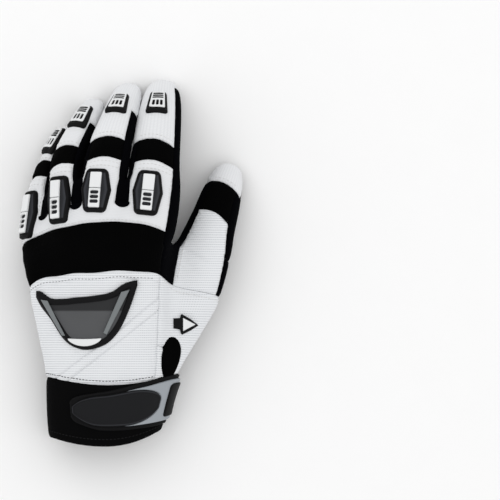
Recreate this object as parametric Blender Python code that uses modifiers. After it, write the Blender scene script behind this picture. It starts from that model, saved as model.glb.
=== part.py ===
"""A left-hand motorcycle glove, lying palm down on its cuff and its curled fingertips.

+X points to the thumb, +Y to the fingertips and +Z away from the floor. The origin is under the
middle of the glove, on the floor. The sewn panels are walls cut from one hand-shaped skin, and each
moulded piece is laid on that skin.
"""
import math

import bmesh
import bpy
import numpy as np
from mathutils import Vector
from mathutils.bvhtree import BVHTree

# Driving sizes, in metres
GLOVE_LENGTH = 0.231
PALM_WIDTH = 0.103
KNUCKLE_HEIGHT = 0.064
CUFF_WIDTH = 0.071
CUFF_DEPTH = 0.041
WRIST_WIDTH = 0.081
WRIST_DEPTH = 0.046
SEAM_GAP = 0.0005
SEAT_GAP = 0.0004
CUFF_WALL = 0.0028
LEATHER_WALL = 0.0015
ELASTIC_WALL = 0.0018
PALM_WALL = 0.0014
KNUCKLE_GUARD_WIDTH = 0.0195
KNUCKLE_GUARD_LENGTH = 0.0284
KNUCKLE_GUARD_HEIGHT = 0.0036
FINGERTIP_GUARD_WIDTH = 0.0145
FINGERTIP_GUARD_LENGTH = 0.0185
FINGERTIP_GUARD_HEIGHT = 0.0026
INLAY_HEIGHT = 0.0011
BACK_GUARD_HEIGHT = 0.0034
STRAP_THICKNESS = 0.0020
SHIELD_HEIGHT = 0.0024
WING_HEIGHT = 0.0028
TAB_HEIGHT = 0.0022

# The hand form was drawn one palm wide, with these proportions, and is stretched to the sizes above.
FORM_LENGTH = 2.243
FORM_HEIGHT = 0.621

# Key sections of each digit along its back line: across and width are shares of the palm's width,
# along is a share of the glove's length, up and depth are shares of the knuckles' height, and roll
# leans the section to the little-finger side, in degrees.
COLUMNS = ("across", "along", "up", "width", "depth", "roll")
DIGITS = {
    "little": (
        (-0.422, 0.453, 0.688, 0.170, 0.47, 40),
        (-0.474, 0.608, 0.425, 0.200, 0.38, 53),
        (-0.400, 0.765, 0.315, 0.168, 0.27, 58),
        (-0.325, 0.826, 0.240, 0.160, 0.26, 66),
        (-0.246, 0.878, 0.125, 0.145, 0.22, 68),
    ),
    "ring": (
        (-0.232, 0.475, 0.844, 0.150, 0.53, 22),
        (-0.288, 0.644, 0.790, 0.185, 0.41, 42),
        (-0.264, 0.800, 0.655, 0.200, 0.30, 36),
        (-0.160, 0.890, 0.420, 0.188, 0.29, 42),
        (-0.066, 0.958, 0.135, 0.180, 0.24, 40),
    ),
    "middle": (
        (0.000, 0.483, 0.938, 0.185, 0.56, 6),
        (-0.042, 0.663, 1.000, 0.222, 0.44, 12),
        (0.005, 0.822, 0.835, 0.252, 0.33, 18),
        (0.083, 0.926, 0.520, 0.221, 0.31, 25),
        (0.159, 1.002, 0.125, 0.180, 0.25, 24),
    ),
    "index": (
        (0.251, 0.483, 0.906, 0.220, 0.53, -4),
        (0.274, 0.657, 0.969, 0.262, 0.44, 0),
        (0.314, 0.814, 0.805, 0.284, 0.34, 3),
        (0.342, 0.926, 0.505, 0.266, 0.32, 3),
        (0.365, 1.010, 0.125, 0.208, 0.25, 6),
    ),
    "thumb": (
        (0.567, 0.417, 0.594, 0.310, 0.47, -8),
        (0.621, 0.551, 0.515, 0.327, 0.40, 0),
        (0.690, 0.660, 0.405, 0.268, 0.33, 9),
        (0.738, 0.720, 0.315, 0.239, 0.30, 7),
        (0.782, 0.774, 0.200, 0.185, 0.25, 5),
    ),
}
FINGERS = ("little", "ring", "middle", "index")

# Rows of the skin past the back seam: where each lies along a digit's key sections, how far the
# section's corners reach, above and below, as shares of its half width and half depth, and how far its
# sides lag behind its middle, both of them and the skewed side alone, as shares of its half width.
ROW_COLUMNS = ("place", "upper_reach", "upper_rise", "lower_reach", "lower_rise", "arch", "skew")
HAND_ROWS = (
    (0.00, 0.86, 0.93, 0.60, 0.90, 0.00, 0.00),
    (0.40, 0.88, 0.90, 0.56, 0.90, 0.00, 0.18),
    (0.72, 0.92, 0.82, 0.54, 0.88, 0.00, 0.50),
    (1.00, 0.98, 0.72, 0.54, 0.86, 0.00, 0.18),
    (1.50, 0.98, 0.66, 0.62, 0.82, 0.10, 0.05),
)
FINGER_ROWS = (
    (1.84, 0.94, 0.66, 0.72, 0.78, 0.32, 0.18),
    (2.21, 0.90, 0.66, 0.74, 0.76, 0.26, 0.30),
    (3.10, 0.80, 0.74, 0.74, 0.76, 0.00, 0.00),
    (4.00, 0.74, 0.74, 0.74, 0.74, 0.00, 0.00),
)
THUMB_HAND_ROWS = (
    (0.00, 0.98, 0.66, 0.70, 0.80, 0.00, 0.00),
    (0.95, 0.90, 0.70, 0.74, 0.78, 0.00, 0.00),
)
THUMB_ROWS = (
    (1.45, 0.77, 0.78, 0.74, 0.76, 0.20, 0.00),
    (1.85, 0.77, 0.78, 0.74, 0.76, 0.45, 0.00),
    (2.40, 0.77, 0.78, 0.74, 0.76, 0.15, 0.00),
    (3.00, 0.76, 0.76, 0.74, 0.76, 0.30, 0.00),
    (4.00, 0.74, 0.74, 0.74, 0.74, 0.00, 0.00),
)
# The digit whose right side is skewed
SKEWED = "index"
# How much of a row's arch leans over to the digit's left side
ARCH_LEANS = {"little": 0.9, "ring": 0.8, "middle": 0.45, "index": 0.0, "thumb": -0.6}
# How far a digit's right side stands out past its section at a row's place, as a share of its half width
SIDE_BULGES = {
    "middle": {1.50: 0.14, 1.84: 0.28, 2.21: 0.06},
    "index": {0.40: 0.26, 0.72: 0.46, 1.00: 0.52, 1.50: 0.36, 1.84: 0.14},
}
# How much of the way to the wrist's width the middle of the cuff is
CUFF_FLARE = 0.3
# The wrist's oval rows: middle across, as a share of the palm's width, width and depth in metres, and
# how far along the top and the two sides lie, as shares of the glove's length.
WRIST_ROWS = (
    (0.009, CUFF_WIDTH, CUFF_DEPTH, 0.000, 0.027, 0.046),
    (0.014, CUFF_WIDTH + CUFF_FLARE * (WRIST_WIDTH - CUFF_WIDTH), (CUFF_DEPTH + WRIST_DEPTH) / 2, 0.080,
     0.104, 0.112),
    (0.044, WRIST_WIDTH, WRIST_DEPTH, 0.164, 0.193, 0.196),
)
# How far the rows between the wrist and the back seam have left the wrist's shape
HEEL_ROWS = (0.33, 0.67)
# The palm leaves the floor later than the back of the hand rises.
HEEL_EASE = 1.6
# The oval's underside lies flat where it would pass this share of its lower half.
FLAT_SHARE = 1.28
# A ring of eight points shrinks by this much when it is smoothed once.
RING_SHRINK = 0.925
# A fingertip's last point is this share of its width past its last row.
FINGERTIP_REACH = 0.30
# The least share that a mitred corner's shift is divided by
MITER_LIMIT = 0.3
# An edge past this angle is drawn crisp.
SHARP_ANGLE = math.radians(40)
# A moulded piece is lifted off the skin in steps until it is clear.
LIFT_STEP = 0.0001
MOST_LIFT = 0.004

# Panels: wall and finish
PANELS = {
    "cuff": (CUFF_WALL, "black_neoprene"),
    "palm": (PALM_WALL, "black_suede"),
    "palm_heel": (PALM_WALL, "black_suede"),
    "finger_underside_little": (PALM_WALL, "black_suede"),
    "finger_underside_ring": (PALM_WALL, "black_suede"),
    "finger_underside_middle": (PALM_WALL, "black_suede"),
    "finger_underside_index": (PALM_WALL, "black_suede"),
    "thumb_underside": (PALM_WALL, "black_suede"),
    "back_panel": (LEATHER_WALL, "white_mesh"),
    "knuckle_stretch_panel": (ELASTIC_WALL, "black_elastic"),
    "knuckle_panel": (LEATHER_WALL, "white_leather"),
    "finger_stretch_little": (ELASTIC_WALL, "black_elastic"),
    "finger_stretch_ring": (ELASTIC_WALL, "black_elastic"),
    "finger_stretch_middle": (ELASTIC_WALL, "black_elastic"),
    "finger_stretch_index": (ELASTIC_WALL, "black_elastic"),
    "fingertip_panel_little": (LEATHER_WALL, "white_leather"),
    "fingertip_panel_ring": (LEATHER_WALL, "white_leather"),
    "fingertip_panel_middle": (LEATHER_WALL, "white_leather"),
    "fingertip_panel_index": (LEATHER_WALL, "white_leather"),
    "fourchette_ring_little": (PALM_WALL, "black_elastic"),
    "fourchette_middle_ring": (PALM_WALL, "black_elastic"),
    "fourchette_index_middle": (PALM_WALL, "black_elastic"),
    "index_side_strip": (PALM_WALL, "black_suede"),
    "thumb_base_panel": (LEATHER_WALL, "white_mesh"),
    "thumb_panel": (LEATHER_WALL, "white_mesh"),
    "thumb_stretch_panel": (ELASTIC_WALL, "black_elastic"),
    "thumb_tip_panel": (LEATHER_WALL, "white_leather"),
    "wrist_gusset": (ELASTIC_WALL, "black_elastic"),
}
PANEL_NAMES = tuple(PANELS)

# Finishes: colour, roughness
FINISHES = {
    "black_neoprene": ((0.010, 0.010, 0.010), 0.90),
    "black_suede": ((0.012, 0.012, 0.016), 0.88),
    "black_elastic": ((0.008, 0.008, 0.008), 0.85),
    "white_mesh": ((0.80, 0.81, 0.82), 0.70),
    "white_leather": ((0.84, 0.84, 0.82), 0.55),
    "black_rubber": ((0.018, 0.018, 0.020), 0.35),
    "grey_rubber": ((0.22, 0.23, 0.24), 0.50),
    "light_grey_rubber": ((0.36, 0.38, 0.40), 0.50),
    "white_rubber": ((0.82, 0.83, 0.84), 0.45),
}

# Corners of a digit's ring, in the order that goes from its left side over its back
TOP_LEFT, TOP, TOP_RIGHT, RIGHT, LOW_RIGHT, LOW, LOW_LEFT, LEFT = range(8)
# Rows of the skin, counted from the cuff's mouth: the wrist's, the seam across the back of the hand,
# the thumb's crotch, the seam above the wide stretch panel and the fingers' crotches
WRIST_ROW, BACK_SEAM_ROW, THUMB_CROTCH_ROW, STRETCH_SEAM_ROW, FINGER_CROTCH_ROW = 2, 5, 6, 7, 9
# Columns of the skin, counted from the little finger's side: the first ones between two fingers, the
# first past the index finger's back, the thumb's first and the first under the palm
BETWEEN_FINGERS = {3: "fourchette_ring_little", 6: "fourchette_middle_ring", 9: "fourchette_index_middle"}
SIDE_COLUMN, THUMB_COLUMN, PALM_COLUMN = 12, 13, 16


def clear_scene():
    """Remove whatever the scene holds."""
    for thing in list(bpy.data.objects):
        bpy.data.objects.remove(thing, do_unlink=True)


def finish(name):
    """The material of one finish."""
    colour, roughness = FINISHES[name]
    material = bpy.data.materials.get(name) or bpy.data.materials.new(name)
    material.use_nodes = True
    shader = material.node_tree.nodes["Principled BSDF"]
    shader.inputs["Base Color"].default_value = (*colour, 1.0)
    shader.inputs["Roughness"].default_value = roughness
    return material


def add_object(name, mesh, finish_name, collection):
    """One named piece with its own material."""
    thing = bpy.data.objects.new(name, mesh)
    collection.objects.link(thing)
    mesh.materials.clear()
    mesh.materials.append(finish(finish_name))
    mesh.shade_smooth()
    mesh.set_sharp_from_angle(angle=SHARP_ANGLE)
    return thing


def stretched(point):
    """A point of the hand form, one palm wide, at the glove's real sizes."""
    return Vector((
        point[0] * PALM_WIDTH,
        point[1] * GLOVE_LENGTH / FORM_LENGTH,
        point[2] * KNUCKLE_HEIGHT / FORM_HEIGHT,
    ))


def key_values(digit, place):
    """The digit's key sections, blended by a smooth curve through them at a place between them."""
    keys = np.array(DIGITS[digit], float)
    last = len(keys) - 1
    start = min(int(place), last - 1)
    slopes = np.gradient(keys, axis=0)
    slopes[0] = 1.5 * (keys[1] - keys[0]) - 0.5 * slopes[1]
    slopes[-1] = 1.5 * (keys[-1] - keys[-2]) - 0.5 * slopes[-2]
    share = place - start
    square, cube = share ** 2, share ** 3
    value = ((2 * cube - 3 * square + 1) * keys[start] + (cube - 2 * square + share) * slopes[start]
             + (3 * square - 2 * cube) * keys[start + 1] + (cube - square) * slopes[start + 1])
    slope = ((6 * square - 6 * share) * (keys[start] - keys[start + 1])
             + (3 * square - 4 * share + 1) * slopes[start] + (3 * square - 2 * share) * slopes[start + 1])
    return dict(zip(COLUMNS, value)), dict(zip(COLUMNS, slope))


def section_frame(digit, place):
    """The back point of a digit's section on the hand form, and its right, forward and up directions."""
    value, slope = key_values(digit, place)
    back = Vector((value["across"], value["along"] * FORM_LENGTH, value["up"] * FORM_HEIGHT))
    forward = Vector((slope["across"], slope["along"] * FORM_LENGTH, slope["up"] * FORM_HEIGHT)).normalized()
    level_right = forward.cross(Vector((0, 0, 1))).normalized()
    level_up = level_right.cross(forward)
    roll = math.radians(value["roll"])
    up = level_up * math.cos(roll) - level_right * math.sin(roll)
    right = level_right * math.cos(roll) + level_up * math.sin(roll)
    return back, right, forward, up, value


def section_ring(digit, row):
    """The eight corners of a digit's section on the hand form, for one row of the skin."""
    shares = dict(zip(ROW_COLUMNS, row))
    back, right, forward, up, value = section_frame(digit, shares["place"])
    half_width = value["width"] / 2
    half_depth = value["depth"] * FORM_HEIGHT / 2
    middle = back - up * half_depth
    corners = {
        TOP_LEFT: (-shares["upper_reach"], shares["upper_rise"]),
        TOP: (0, 1),
        TOP_RIGHT: (shares["upper_reach"], shares["upper_rise"]),
        RIGHT: (1 + SIDE_BULGES.get(digit, {}).get(shares["place"], 0.0), 0),
        LOW_RIGHT: (shares["lower_reach"], -shares["lower_rise"]),
        LOW: (0, -1),
        LOW_LEFT: (-shares["lower_reach"], -shares["lower_rise"]),
        LEFT: (-1, 0),
    }
    skew = shares["skew"] if digit == SKEWED else 0.0
    lean = ARCH_LEANS[digit]
    lags = {corner: shares["arch"] * (abs(a) - lean * a) + skew * max(a, 0.0)
            for corner, (a, b) in corners.items() if b >= 0}
    return {
        corner: middle + (right * (a * half_width) + up * (b * half_depth)) / RING_SHRINK
        - forward * (lags.get(corner, 0.0) * half_width)
        for corner, (a, b) in corners.items()
    }


def wrist_point(row, turn):
    """A point of a wrist row's oval at real size; turn runs from the left side over the back."""
    across, width, depth, top_along, left_along, right_along = row
    angle = math.pi - turn
    side = right_along if math.cos(angle) > 0 else left_along
    along = top_along + (side - top_along) * math.cos(angle) ** 2
    half = depth / 2
    if math.sin(angle) >= 0:
        height = half + half * math.sin(angle)
    else:
        height = max(0.0, half + half * FLAT_SHARE * math.sin(angle))
    return Vector((across * PALM_WIDTH + width / 2 * math.cos(angle), along * GLOVE_LENGTH, height))


def hand_loop(digits):
    """The corners round the hand, from its left side over the back and round under the palm."""
    loop = [(digits[0], LEFT)]
    for digit in digits:
        loop += [(digit, TOP_LEFT), (digit, TOP), (digit, TOP_RIGHT)]
    loop.append((digits[-1], RIGHT))
    for digit in reversed(digits):
        loop += [(digit, LOW_RIGHT), (digit, LOW), (digit, LOW_LEFT)]
    return loop


def hand_panel(row, column, full):
    """The panel of a face between hand row and the next, counted round the loop."""
    if row < WRIST_ROW:
        return "cuff"
    if row < BACK_SEAM_ROW:
        if column < SIDE_COLUMN:
            return "back_panel"
        if column in (SIDE_COLUMN, THUMB_COLUMN) and row == WRIST_ROW:
            return "wrist_gusset"
        return "thumb_base_panel" if column < PALM_COLUMN else "palm_heel"
    if column < SIDE_COLUMN and row < STRETCH_SEAM_ROW:
        return "knuckle_stretch_panel"
    if full and column in (THUMB_COLUMN, THUMB_COLUMN + 1):
        return "thumb_panel"
    if column == SIDE_COLUMN or (column == THUMB_COLUMN and not full):
        return "index_side_strip"
    if column > SIDE_COLUMN:
        return "palm"
    return "knuckle_panel" if row == STRETCH_SEAM_ROW else BETWEEN_FINGERS.get(column, "knuckle_panel")


# Sides of each finger that its fingertip panel reaches round, besides its back's two, each with the
# first row past the crotch where it does
WIDE_SIDES = {"little": {TOP_RIGHT: 3}, "ring": {TOP_RIGHT: 3}, "middle": {TOP_RIGHT: 3, LEFT: 2},
              "index": {LEFT: 2}, "thumb": {TOP_RIGHT: 4, LEFT: 4}}


def digit_panel(digit, row, side):
    """The panel of a face on a digit past its crotch; side counts round from the back's left half."""
    underside = "thumb_underside" if digit == "thumb" else "finger_underside_" + digit
    left_walls = {"little": underside, "ring": "fourchette_ring_little", "middle": "fourchette_middle_ring",
                  "index": "fourchette_index_middle", "thumb": "index_side_strip"}
    right_walls = {"little": "fourchette_ring_little", "ring": "fourchette_middle_ring",
                   "middle": "fourchette_index_middle", "index": "index_side_strip", "thumb": underside}
    if row >= WIDE_SIDES[digit].get(side, row + 1):
        return "thumb_tip_panel" if digit == "thumb" else "fingertip_panel_" + digit
    if side in (TOP_RIGHT, RIGHT):
        return right_walls[digit]
    if side in (LOW_LEFT, LEFT):
        return left_walls[digit]
    if side in (LOW_RIGHT, LOW):
        return underside
    if digit == "thumb":
        return ("thumb_panel", "thumb_panel", "thumb_stretch_panel", "thumb_stretch_panel",
                "thumb_tip_panel", "thumb_tip_panel")[row]
    return ("knuckle_panel", "finger_stretch_" + digit, "fingertip_panel_" + digit,
            "fingertip_panel_" + digit, "fingertip_panel_" + digit)[row]


class Skin:
    """The hand-shaped skin that every panel is cut from."""

    def __init__(self):
        self.cage = bmesh.new()
        self.points = {}
        self.build_cage()
        self.smooth()

    def point(self, key, place):
        """The cage's corner of that key, made at a place on its first use."""
        if key not in self.points:
            self.points[key] = self.cage.verts.new(place)
        return self.points[key]

    def face(self, keys, panel):
        """One face of the cage, which belongs to a panel."""
        made = self.cage.faces.new([self.points[key] for key in keys])
        made.material_index = PANEL_NAMES.index(panel)

    def build_cage(self):
        """Rows round the wrist and the hand, then rows round each digit, and a cap at its end."""
        everyone = FINGERS + ("thumb",)
        full, four = hand_loop(everyone), hand_loop(FINGERS)
        rings = {}
        for digit in FINGERS:
            for number, row in enumerate(HAND_ROWS):
                rings[digit, number + BACK_SEAM_ROW] = section_ring(digit, row)
        for number, row in enumerate(THUMB_HAND_ROWS):
            rings["thumb", number + BACK_SEAM_ROW] = section_ring("thumb", row)
        for index, (digit, corner) in enumerate(full):
            turn = math.tau * index / len(full)
            for number, row in enumerate(WRIST_ROWS):
                self.point((digit, number, corner), wrist_point(row, turn))
            start, end = wrist_point(WRIST_ROWS[-1], turn), stretched(rings[digit, BACK_SEAM_ROW][corner])
            for number, share in enumerate(HEEL_ROWS):
                place = start.lerp(end, share)
                if LOW_RIGHT <= corner <= LOW_LEFT:
                    place.z = start.z + (end.z - start.z) * share ** HEEL_EASE
                self.point((digit, WRIST_ROW + 1 + number, corner), place)
        for (digit, number), ring in rings.items():
            inner = {
                "little": (RIGHT,), "ring": (LEFT, RIGHT), "middle": (LEFT, RIGHT),
                "index": (LEFT,) if number >= THUMB_CROTCH_ROW else (LEFT, RIGHT), "thumb": (LEFT,)}[digit]
            if number >= (THUMB_CROTCH_ROW if digit == "thumb" else FINGER_CROTCH_ROW):
                inner = ()
            for corner, place in ring.items():
                if corner not in inner:
                    self.point((digit, number, corner), stretched(place))
        for number in range(FINGER_CROTCH_ROW):
            loop = full if number < THUMB_CROTCH_ROW else four
            for column, (digit, corner) in enumerate(loop):
                after, after_corner = loop[(column + 1) % len(loop)]
                self.face([(digit, number, corner), (after, number, after_corner),
                           (after, number + 1, after_corner), (digit, number + 1, corner)],
                          hand_panel(number, column, loop is full))
        webs = (("little", "ring", FINGER_CROTCH_ROW, "fourchette_ring_little"),
                ("ring", "middle", FINGER_CROTCH_ROW, "fourchette_middle_ring"),
                ("middle", "index", FINGER_CROTCH_ROW, "fourchette_index_middle"),
                ("index", "thumb", THUMB_CROTCH_ROW, "index_side_strip"))
        for left, right, number, panel in webs:
            self.face([(left, number, TOP_RIGHT), (right, number, TOP_LEFT), (right, number, LEFT),
                       (left, number, RIGHT)], panel)
            self.face([(left, number, RIGHT), (right, number, LEFT), (right, number, LOW_LEFT),
                       (left, number, LOW_RIGHT)], panel)
        for digit in FINGERS:
            self.add_digit(digit, FINGER_CROTCH_ROW, FINGER_ROWS)
        self.add_digit("thumb", THUMB_CROTCH_ROW, THUMB_ROWS)

    def add_digit(self, digit, first, rows):
        """Rows past the digit's crotch, and four faces that close its end."""
        for count, row in enumerate(rows):
            number = first + count
            for corner, place in section_ring(digit, row).items():
                self.point((digit, number + 1, corner), stretched(place))
            for side in range(8):
                after = (side + 1) % 8
                self.face([(digit, number, side), (digit, number, after),
                           (digit, number + 1, after), (digit, number + 1, side)],
                          digit_panel(digit, count, side))
        last = first + len(rows)
        back, _, forward, up, value = section_frame(digit, rows[-1][0])
        tip = back - up * (value["depth"] * FORM_HEIGHT / 2) + forward * (FINGERTIP_REACH * value["width"])
        self.point((digit, last + 1, "tip"), stretched(tip))
        for start, side in ((LEFT, TOP_LEFT), (TOP, TOP_LEFT), (RIGHT, LOW_RIGHT), (LOW, LOW_RIGHT)):
            keys = [(digit, last, (start + step) % 8) for step in range(3)]
            self.face(keys + [(digit, last + 1, "tip")], digit_panel(digit, len(rows), side))

    def smooth(self):
        """Smooth the cage once, and keep the skin's points, normals and faces with their panels."""
        mesh = bpy.data.meshes.new("skin")
        self.cage.to_mesh(mesh)
        self.cage.free()
        for name in PANEL_NAMES:
            mesh.materials.append(bpy.data.materials.new("cut_" + name))
        guide = bpy.data.objects.new("skin", mesh)
        bpy.context.scene.collection.objects.link(guide)
        subdivide = guide.modifiers.new("smooth", "SUBSURF")
        subdivide.levels = 1
        subdivide.render_levels = 1
        graph = bpy.context.evaluated_depsgraph_get()
        smooth = bpy.data.meshes.new_from_object(guide.evaluated_get(graph))
        self.places = [Vector((v.co.x, v.co.y, max(v.co.z, 0.0))) for v in smooth.vertices]
        self.faces = [tuple(face.vertices) for face in smooth.polygons]
        self.panels = [face.material_index for face in smooth.polygons]
        for vertex, place in zip(smooth.vertices, self.places):
            vertex.co = place
        self.normals = [v.normal.copy() for v in smooth.vertices]
        self.tree = BVHTree.FromPolygons(self.places, self.faces)
        bpy.data.objects.remove(guide)
        bpy.data.meshes.remove(mesh)
        bpy.data.meshes.remove(smooth)
        for name in PANEL_NAMES:
            bpy.data.materials.remove(bpy.data.materials["cut_" + name])

    def hit(self, start, direction):
        """Where a line from outside first meets the skin."""
        place, _, _, _ = self.tree.ray_cast(start, direction)
        return place if place else self.tree.find_nearest(start)[0]

    def panel_mesh(self, name):
        """A panel's wall: its outer side on the skin, its inner side one wall below, edges drawn in by
        half of a seam gap so that it clears its neighbours."""
        wall, half_gap = PANELS[name][0], SEAM_GAP / 2
        own = [face for face, panel in zip(self.faces, self.panels) if PANEL_NAMES[panel] == name]
        edges = {(a, b) for face in own for a, b in zip(face, face[1:] + face[:1])}
        rim = [edge for edge in edges if (edge[1], edge[0]) not in edges]
        inward = {}
        for a, b in rim:
            for corner in (a, b):
                sideways = self.normals[corner].cross(self.places[b] - self.places[a]).normalized()
                inward.setdefault(corner, []).append(sideways)
        used = sorted({corner for face in own for corner in face})
        order = {corner: number for number, corner in enumerate(used)}
        outer = []
        for corner in used:
            shift = Vector()
            if corner in inward:
                first, second = inward[corner]
                shift = (first + second) * half_gap / max(MITER_LIMIT, 1 + first.dot(second))
                if self.places[corner].z == 0:
                    shift.z = 0
            outer.append(self.places[corner] + shift)
        inner = [place - self.normals[corner] * wall for place, corner in zip(outer, used)]
        count = len(used)
        faces = [tuple(order[corner] for corner in face) for face in own]
        faces += [tuple(order[corner] + count for corner in reversed(face)) for face in own]
        faces += [(order[b], order[a], order[a] + count, order[b] + count) for a, b in rim]
        mesh = bpy.data.meshes.new(name)
        mesh.from_pydata(outer + inner, [], faces)
        return mesh


class Seat:
    """A flat frame over the skin, from which the points of a moulded piece drop onto it.

    A stiff piece doesn't follow the skin further down than its drop.
    """

    def __init__(self, skin, origin, right, forward, drop=KNUCKLE_HEIGHT):
        self.skin, self.origin, self.drop = skin, origin, drop
        self.right, self.forward = right, forward
        self.normal = right.cross(forward).normalized()

    def on(self, a, b, lift):
        """The point over the skin at a to the right and b forward, at that lift."""
        flat = self.origin + self.right * a + self.forward * b
        place = self.skin.hit(flat + self.normal * KNUCKLE_HEIGHT, -self.normal)
        depth = min((flat - place).dot(self.normal), self.drop)
        return flat + self.normal * (lift - depth)


def loft(name, rings):
    """A closed body through rings of points; a ring drawn together to a point closes it smoothly."""
    body = bmesh.new()
    rows = [[body.verts.new(place) for place in ring] for ring in rings]
    count = len(rows[0])
    for low, high in zip(rows, rows[1:]):
        for step in range(count):
            after = (step + 1) % count
            body.faces.new([low[step], low[after], high[after], high[step]])
    body.faces.new(list(reversed(rows[0])))
    body.faces.new(rows[-1])
    bmesh.ops.remove_doubles(body, verts=body.verts, dist=1e-6)
    bmesh.ops.recalc_face_normals(body, faces=body.faces)
    if body.calc_volume(signed=True) < 0:
        bmesh.ops.reverse_faces(body, faces=body.faces)
    mesh = bpy.data.meshes.new(name)
    body.to_mesh(mesh)
    body.free()
    return mesh


def tree_of(mesh):
    """A mesh's faces, ready to be tested against another's."""
    return BVHTree.FromPolygons([v.co for v in mesh.vertices], [tuple(f.vertices) for f in mesh.polygons])


def settled(build, under, base=0.0):
    """A piece built as low as it lies clear of what is under it, with the seat gap left below it, and
    how far its underside is then off the skin."""
    lift = base
    while lift < base + MOST_LIFT and tree_of(build(lift)).overlap(under):
        lift += LIFT_STEP
    return build(lift + SEAT_GAP), lift + SEAT_GAP


def rounded(outline, share):
    """An outline with each corner cut back along both of its sides by a share of them."""
    points = []
    for index, corner in enumerate(outline):
        before = outline[index - 1]
        after = outline[(index + 1) % len(outline)]
        for other in (before, after):
            points.append(tuple(c + (o - c) * share for c, o in zip(corner, other)))
    return points


# Shares of its outline at which a plate's underside follows the skin
UNDERSIDE_SHARES = (0, 0.4, 0.72, 1)


def plate(name, seat, outline, levels, under, base=0.0):
    """A moulded plate, its outline drawn in by each level's share at that level's height, and its lift."""
    def build(lift):
        def ring(share, height):
            return [seat.on(a * share, b * share, lift + height) for a, b in outline]
        rings = [ring(share, 0) for share in UNDERSIDE_SHARES]
        rings += [ring(share, height) for share, height in levels]
        rings.append(ring(0, levels[-1][1]))
        return loft(name, rings)
    return settled(build, under, base)


# Outlines, as shares of a guard's width and length, counter-clockwise from its lower left corner
KNUCKLE_OUTLINE = ((-0.36, -0.5), (0.36, -0.5), (0.5, 0.02), (0.34, 0.5), (-0.34, 0.5), (-0.5, 0.02))
FINGERTIP_OUTLINE = ((-0.5, -0.5), (0.5, -0.5), (0.34, 0.5), (-0.34, 0.5))
BOX_OUTLINE = ((-0.5, -0.5), (0.5, -0.5), (0.5, 0.5), (-0.5, 0.5))
TIP_BOX_OUTLINE = ((-0.5, -0.5), (0.5, -0.5), (0.38, 0.5), (-0.38, 0.5))
CORNER_CUT = 0.16
# Where along the digits the guards lie, and the inlay's share of a guard's width and length
KNUCKLE_GUARD_PLACES = {"little": 1.15, "ring": 1.18, "middle": 1.22, "index": 1.22}
FINGERTIP_GUARD_PLACES = dict.fromkeys(FINGERS, 3.17)
KNUCKLE_INLAY_SHARE = (0.38, 0.80)
FINGERTIP_INLAY_SHARE = (0.66, 0.72)
# How far the guards lie to the right of the digits' back lines, in metres
KNUCKLE_GUARD_OFFSETS = {"little": 0.0012, "ring": 0.0010, "middle": -0.0014, "index": -0.0015}
FINGERTIP_GUARD_OFFSETS = {"little": 0.0008, "ring": 0.0002, "middle": -0.0010, "index": -0.0018}
# The outer fingers' guards are narrower and longer than the others: scales of the width and the length
GUARD_SCALES = {"little": (0.85, 1.10), "ring": (0.93, 1.08), "middle": (1.0, 1.0), "index": (1.0, 1.02)}
# How far a finger guard's edge drops below its middle, as a share of its width
GUARD_DROP = 0.13
# Levels of a guard's face, from its edge: share of the outline and of the height
GUARD_LEVELS = ((1.0, 0.30), (0.90, 0.55), (0.62, 1.0))
INLAY_LEVELS = ((1.0, 0.65), (0.84, 1.0))


def sized(outline, width, length):
    """An outline of shares at its real width and length."""
    return [(a * width, b * length) for a, b in outline]


def digit_seat(skin, digit, place, offset, drop):
    """The seat on a digit's back at a place along its key sections, moved to its right by the offset."""
    back, right, forward, _, _ = section_frame(digit, place)
    right, forward = stretched(right).normalized(), stretched(forward).normalized()
    return Seat(skin, stretched(back) + right * offset, right, right.cross(forward).cross(right).normalized(),
                drop)


def scaled_levels(levels, height):
    """Levels of shares at a real height."""
    return [(share, rise * height) for share, rise in levels]


def add_finger_guards(skin, collection):
    """A guard on each knuckle and each fingertip, with its white inlay on top."""
    kinds = (
        ("knuckle", KNUCKLE_GUARD_PLACES, KNUCKLE_GUARD_OFFSETS, KNUCKLE_OUTLINE, KNUCKLE_GUARD_WIDTH,
         KNUCKLE_GUARD_LENGTH, KNUCKLE_GUARD_HEIGHT, KNUCKLE_INLAY_SHARE, BOX_OUTLINE),
        ("fingertip", FINGERTIP_GUARD_PLACES, FINGERTIP_GUARD_OFFSETS, FINGERTIP_OUTLINE,
         FINGERTIP_GUARD_WIDTH, FINGERTIP_GUARD_LENGTH, FINGERTIP_GUARD_HEIGHT, FINGERTIP_INLAY_SHARE,
         TIP_BOX_OUTLINE),
    )
    for kind, places, offsets, outline, full_width, full_length, height, inlay_share, inlay_outline in kinds:
        for digit in FINGERS:
            width, length = full_width * GUARD_SCALES[digit][0], full_length * GUARD_SCALES[digit][1]
            seat = digit_seat(skin, digit, places[digit], offsets[digit], GUARD_DROP * width)
            edge = rounded(sized(outline, width, length), CORNER_CUT)
            guard, lift = plate("guard", seat, edge, scaled_levels(GUARD_LEVELS, height), skin.tree)
            add_object(f"{kind}_guard_{digit}", guard, "black_rubber", collection)
            inner = sized(inlay_outline, width * inlay_share[0], length * inlay_share[1])
            inlay, _ = plate("inlay", seat, rounded(inner, CORNER_CUT),
                             scaled_levels(INLAY_LEVELS, INLAY_HEIGHT), tree_of(guard), lift + height)
            add_object(f"{kind}_inlay_{digit}", inlay, "white_rubber", collection)


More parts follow.
